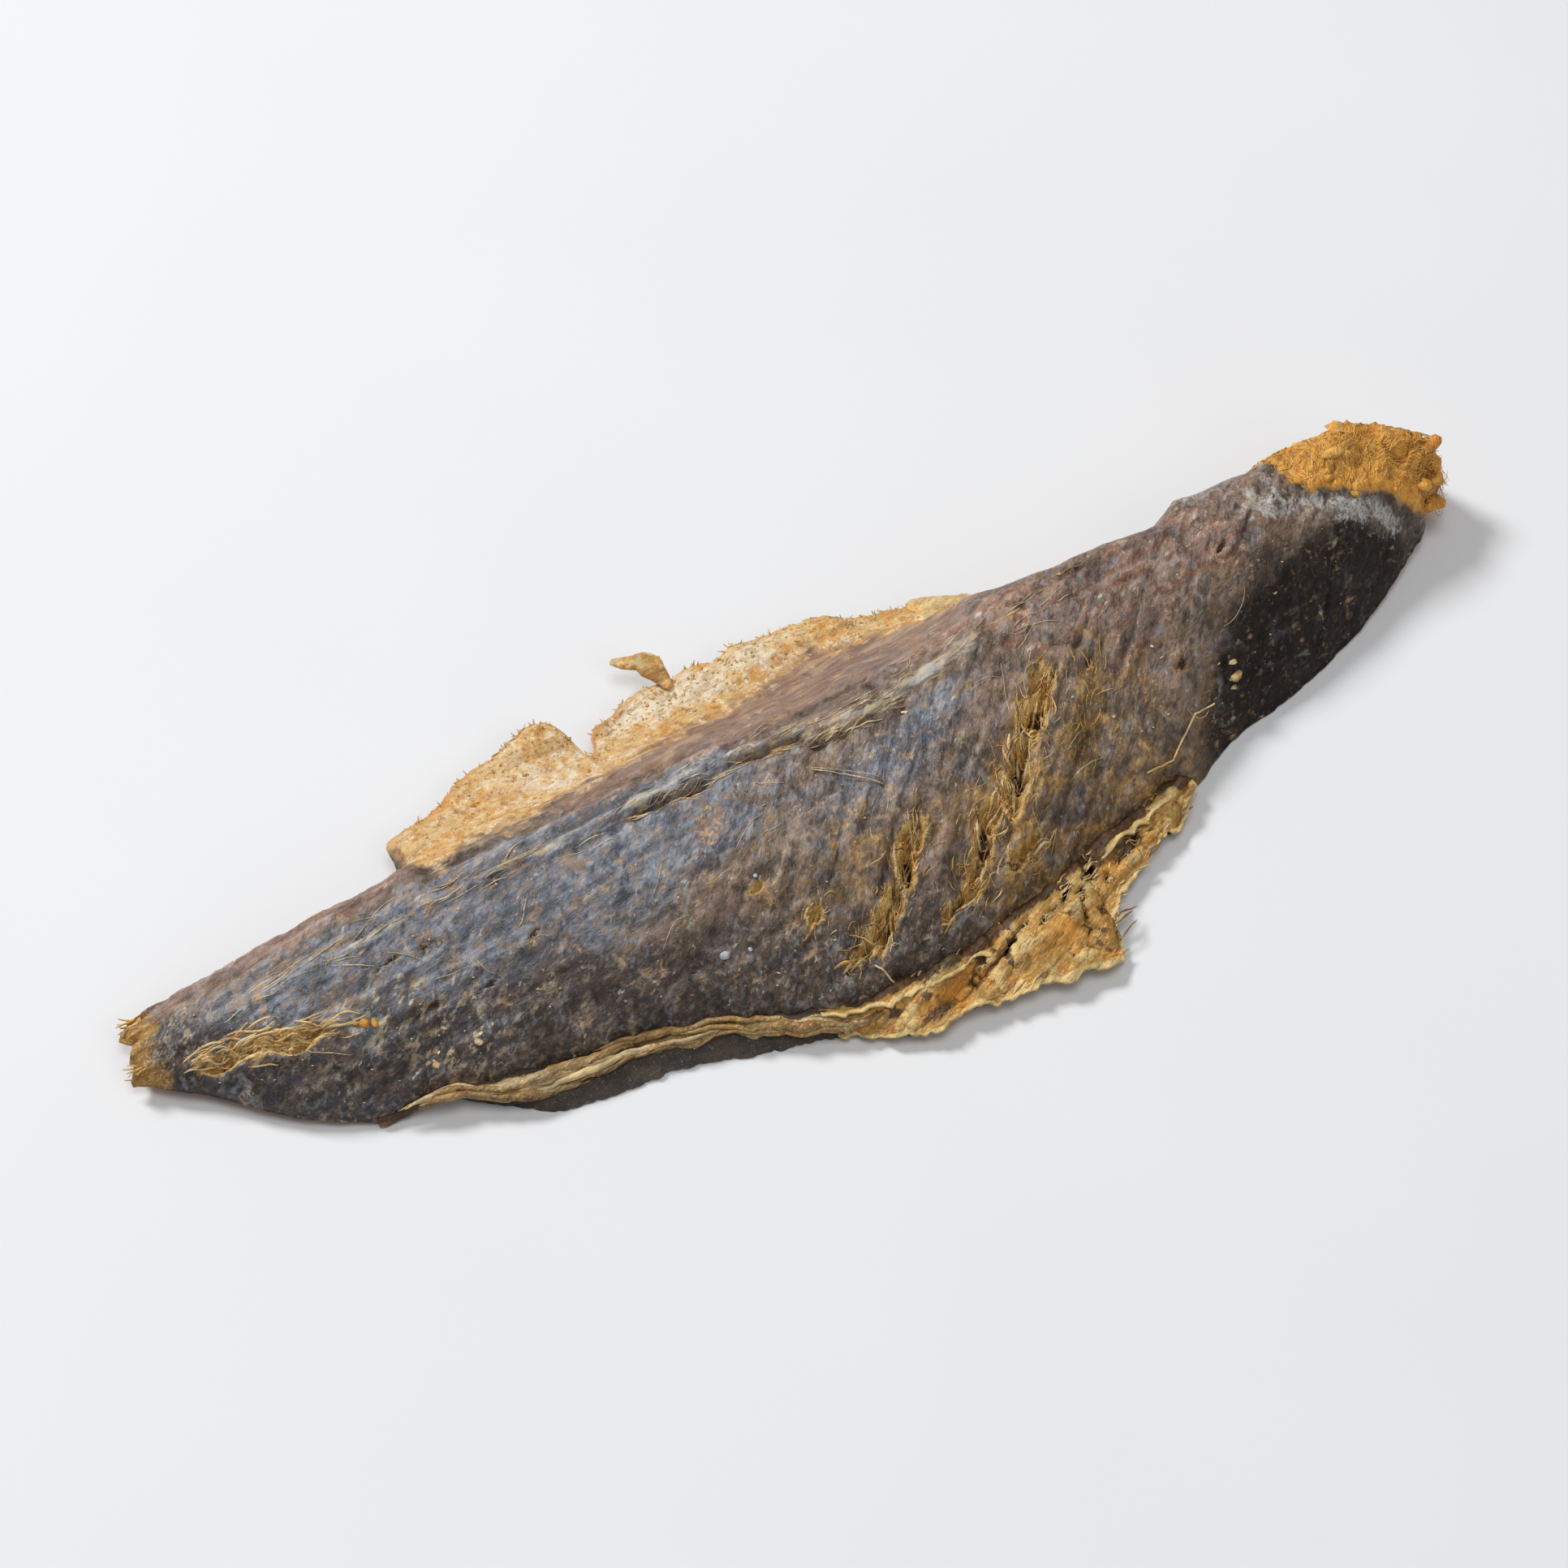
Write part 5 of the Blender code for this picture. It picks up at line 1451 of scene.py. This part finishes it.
def rim_fibres():
    rng = np.random.default_rng(31)
    paths, radii, tones = [], [], []
    xs = rng.uniform(-48.5, 28.0, 300)
    ys = rim_far(xs)
    zs = top_of(xs, ys - 0.5)
    wide = ys > skin_far(xs) + 1.0
    for x, y, z in zip(xs[wide], ys[wide], zs[wide]):
        t = np.linspace(0, 1, 7)
        length = rng.uniform(0.3, 1.0) ** 2 * 1.1
        head = math.radians(90 + rng.normal(0, 60))
        paths.append(np.stack([x + length * t * math.cos(head), y - 0.35 + length * t * math.sin(head), z - rng.uniform(0.1, 0.4) + 0.15 * noise(t * 2, rng.uniform(0, 99), 3)], -1))
        radii.append(rng.uniform(0.05, 0.17) * (1 - 0.6 * t))
        tones.append(rng.uniform(-0.3, 1.0))
    return bundle("rim_fibres", paths, radii, fibre_gold, tones, 5)


def sprig():
    """A little golden chip of flesh that stands on the far flap's rim."""
    rng = np.random.default_rng(32)
    z = float(top_of(np.array(-10.6), np.array(17.2)))
    paths = [
        np.array([(-10.3, 16.6, z - 0.2), (-10.4, 17.8, z + 0.3), (-10.7, 19.0, z + 0.7), (-11.1, 20.2, z + 0.9), (-11.6, 21.2, z + 1.0), (-12.0, 22.0, z + 0.9)]),
        np.array([(-11.5, 20.8, z + 0.9), (-12.5, 21.3, z + 1.0), (-13.6, 21.9, z + 0.9), (-14.6, 22.7, z + 0.8)]),
        np.array([(-10.7, 19.0, z + 0.7), (-10.0, 19.9, z + 0.8), (-9.8, 20.8, z + 0.8)]),
    ]
    fine, radii = [], []
    for q, r in zip(paths, ((0.55, 0.9, 1.35, 1.55, 1.25, 0.5), (1.1, 1.0, 0.85, 0.4), (1.0, 0.8, 0.4))):
        t = np.linspace(0, len(q) - 1, 22)
        fine.append(np.stack([np.interp(t, range(len(q)), q[:, k]) for k in range(3)], -1))
        radii.append(np.interp(t, range(len(q)), r))
    verts, faces = tubes(fine, radii, 16)
    bump = 0.22 * fbm(verts[:, 0] * 1.1, verts[:, 1] * 1.1 + verts[:, 2], 211, 3)
    centre_line = np.array([-11.2, 20.0, z + 0.8])
    verts = verts + bump[:, None] * (verts - centre_line) / np.maximum(np.linalg.norm(verts - centre_line, axis=1, keepdims=True), 0.3)
    verts[:, 2] = z + 0.5 + (verts[:, 2] - z - 0.5) * 0.6
    pale = np.clip(0.3 + 0.6 * noise(verts[:, 0], verts[:, 1], 213), 0, 1)
    return place(new_object("golden_sprig", verts, faces, fibre_gold, attributes={"m_pale_and_highlight": pale, "m_dark_and_shade": 0 * pale}))


def flecks():
    rng = np.random.default_rng(33)
    known = np.array([(-51.2, -17.8, 0.5), (-50.6, -17.3, 0.3), (-54.0, -15.0, 0.3), (-56.3, -17.4, 0.5), (-56.9, -17.0, 0.3), (46.9, -14.3, 0.8), (47.5, -13.1, 0.55),
                      (46.3, -15.2, 0.4), (55.6, -8.6, 0.35), (-43.0, -16.0, 0.25), (26.0, -2.0, 0.3), (33.5, 3.4, 0.35), (8.0, -6.0, 0.35), (30.2, -15.0, 0.3)])
    x = rng.uniform(-80.0, 74.0, 260)
    low, high = edge_near(x) + 1.0, curve(STATIONS, x, 3) + 3.0
    y = low + (high - low) * rng.random(260)
    x, y, size = np.concatenate([known[:, 0], x]), np.concatenate([known[:, 1], y]), np.concatenate([known[:, 2], rng.uniform(0.05, 0.17, 260)])
    scatter("pale_flecks", list(zip(x, y, top_of(x, y) + 0.02, size)), fibre_pale, 34, 0.22, 0.6, (-0.6, 0.9))
    n = Nodes("pearl_dot", 0.3)
    dot = n.finish(n.mix(n.noise(1.2, 3, 0.5), srgb(140, 152, 160), srgb(196, 202, 202)), n.step(n.noise(2.0, 2, 0.5), 0.2, 0.8, 0.2, 0.4), None, 0.15)
    known = np.array([(-23.1, -21.6, 0.62), (-20.3, -22.3, 0.26), (-16.5, -16.4, 0.28), (26.4, -11.9, 0.22), (38.4, -9.4, 0.28)])
    scatter("pearl_dots", list(zip(known[:, 0], known[:, 1], top_of(known[:, 0], known[:, 1]) + 0.05, known[:, 2])), dot, 35, 0.5, 0.12)
    known = np.array([(-61.3, -10.9, 0.75), (-60.4, -11.4, 0.45), (-62.3, -10.4, 0.35)])
    scatter("orange_crumb", list(zip(known[:, 0], known[:, 1], top_of(known[:, 0], known[:, 1]) + 0.02, known[:, 2])), flesh_orange, 36, 0.45, 0.5, (-0.2, 0.3))


tear_shreds()
crease_fibres()
hair_bones()
edge_fibres()
tail_fibres()
head_fluff()
head_lumps()
flap_grains()
rim_fibres()
sprig()
flecks()

# ------------------------------------------------------------------ camera, light, floor
THETA, ELEVATION = math.radians(28.335), math.radians(55.0)
view = Vector((math.sin(THETA) * math.cos(ELEVATION), math.cos(THETA) * math.cos(ELEVATION), -math.sin(ELEVATION)))
centre = Vector((0.0, 0.0, 0.005)) - 0.0085 * Vector((math.cos(THETA), -math.sin(THETA), 0.0)) + 0.004 * Vector((math.sin(THETA), math.cos(THETA), 0.0))
camera_data = bpy.data.cameras.new("camera")
camera_data.lens = 100.0
camera_data.sensor_width = 36.0
camera_data.clip_start = 0.01
camera = bpy.data.objects.new("camera", camera_data)
bpy.context.scene.collection.objects.link(camera)
camera.location = centre - view * 0.492
camera.rotation_euler = view.to_track_quat("-Z", "Y").to_euler()
bpy.context.scene.camera = camera

right = Vector((math.cos(THETA), -math.sin(THETA), 0.0))
ahead = Vector((math.sin(THETA), math.cos(THETA), 0.0))


def lamp(name, side, depth, height, size, power):
    data = bpy.data.lights.new(name, "AREA")
    data.shape = "DISK"
    data.size = size
    data.energy = power
    data.color = (1.0, 1.0, 1.0)
    obj = bpy.data.objects.new(name, data)
    bpy.context.scene.collection.objects.link(obj)
    obj.location = right * side + ahead * depth + Vector((0, 0, height))
    obj.rotation_euler = (centre - obj.location).to_track_quat("-Z", "Y").to_euler()
    return obj


lamp("key", -0.84, 0.68, 1.04, 0.42, 18.0)
lamp("fill", 0.90, -0.90, 1.20, 1.0, 3.6)
lamp("top", 0.10, -0.20, 1.8, 1.0, 10.0)

world = bpy.data.worlds.new("studio")
world.use_nodes = True
world.node_tree.nodes["Background"].inputs["Color"].default_value = (1.0, 1.0, 1.0, 1.0)
world.node_tree.nodes["Background"].inputs["Strength"].default_value = 0.18
bpy.context.scene.world = world
bpy.context.scene.view_settings.view_transform = "Standard"

floor_mesh = bpy.data.meshes.new("floor")
floor_mesh.from_pydata([(-3, -3, 0), (3, -3, 0), (3, 3, 0), (-3, 3, 0)], [], [(0, 1, 2, 3)])
floor = bpy.data.objects.new("floor", floor_mesh)
bpy.context.scene.collection.objects.link(floor)
floor_nodes = Nodes("pale_floor", 0.7)
floor_mesh.materials.append(floor_nodes.finish(floor_nodes.mix(floor_nodes.noise(0.02, 2, 0.5), (0.75, 0.757, 0.77, 1), (0.765, 0.772, 0.785, 1))))
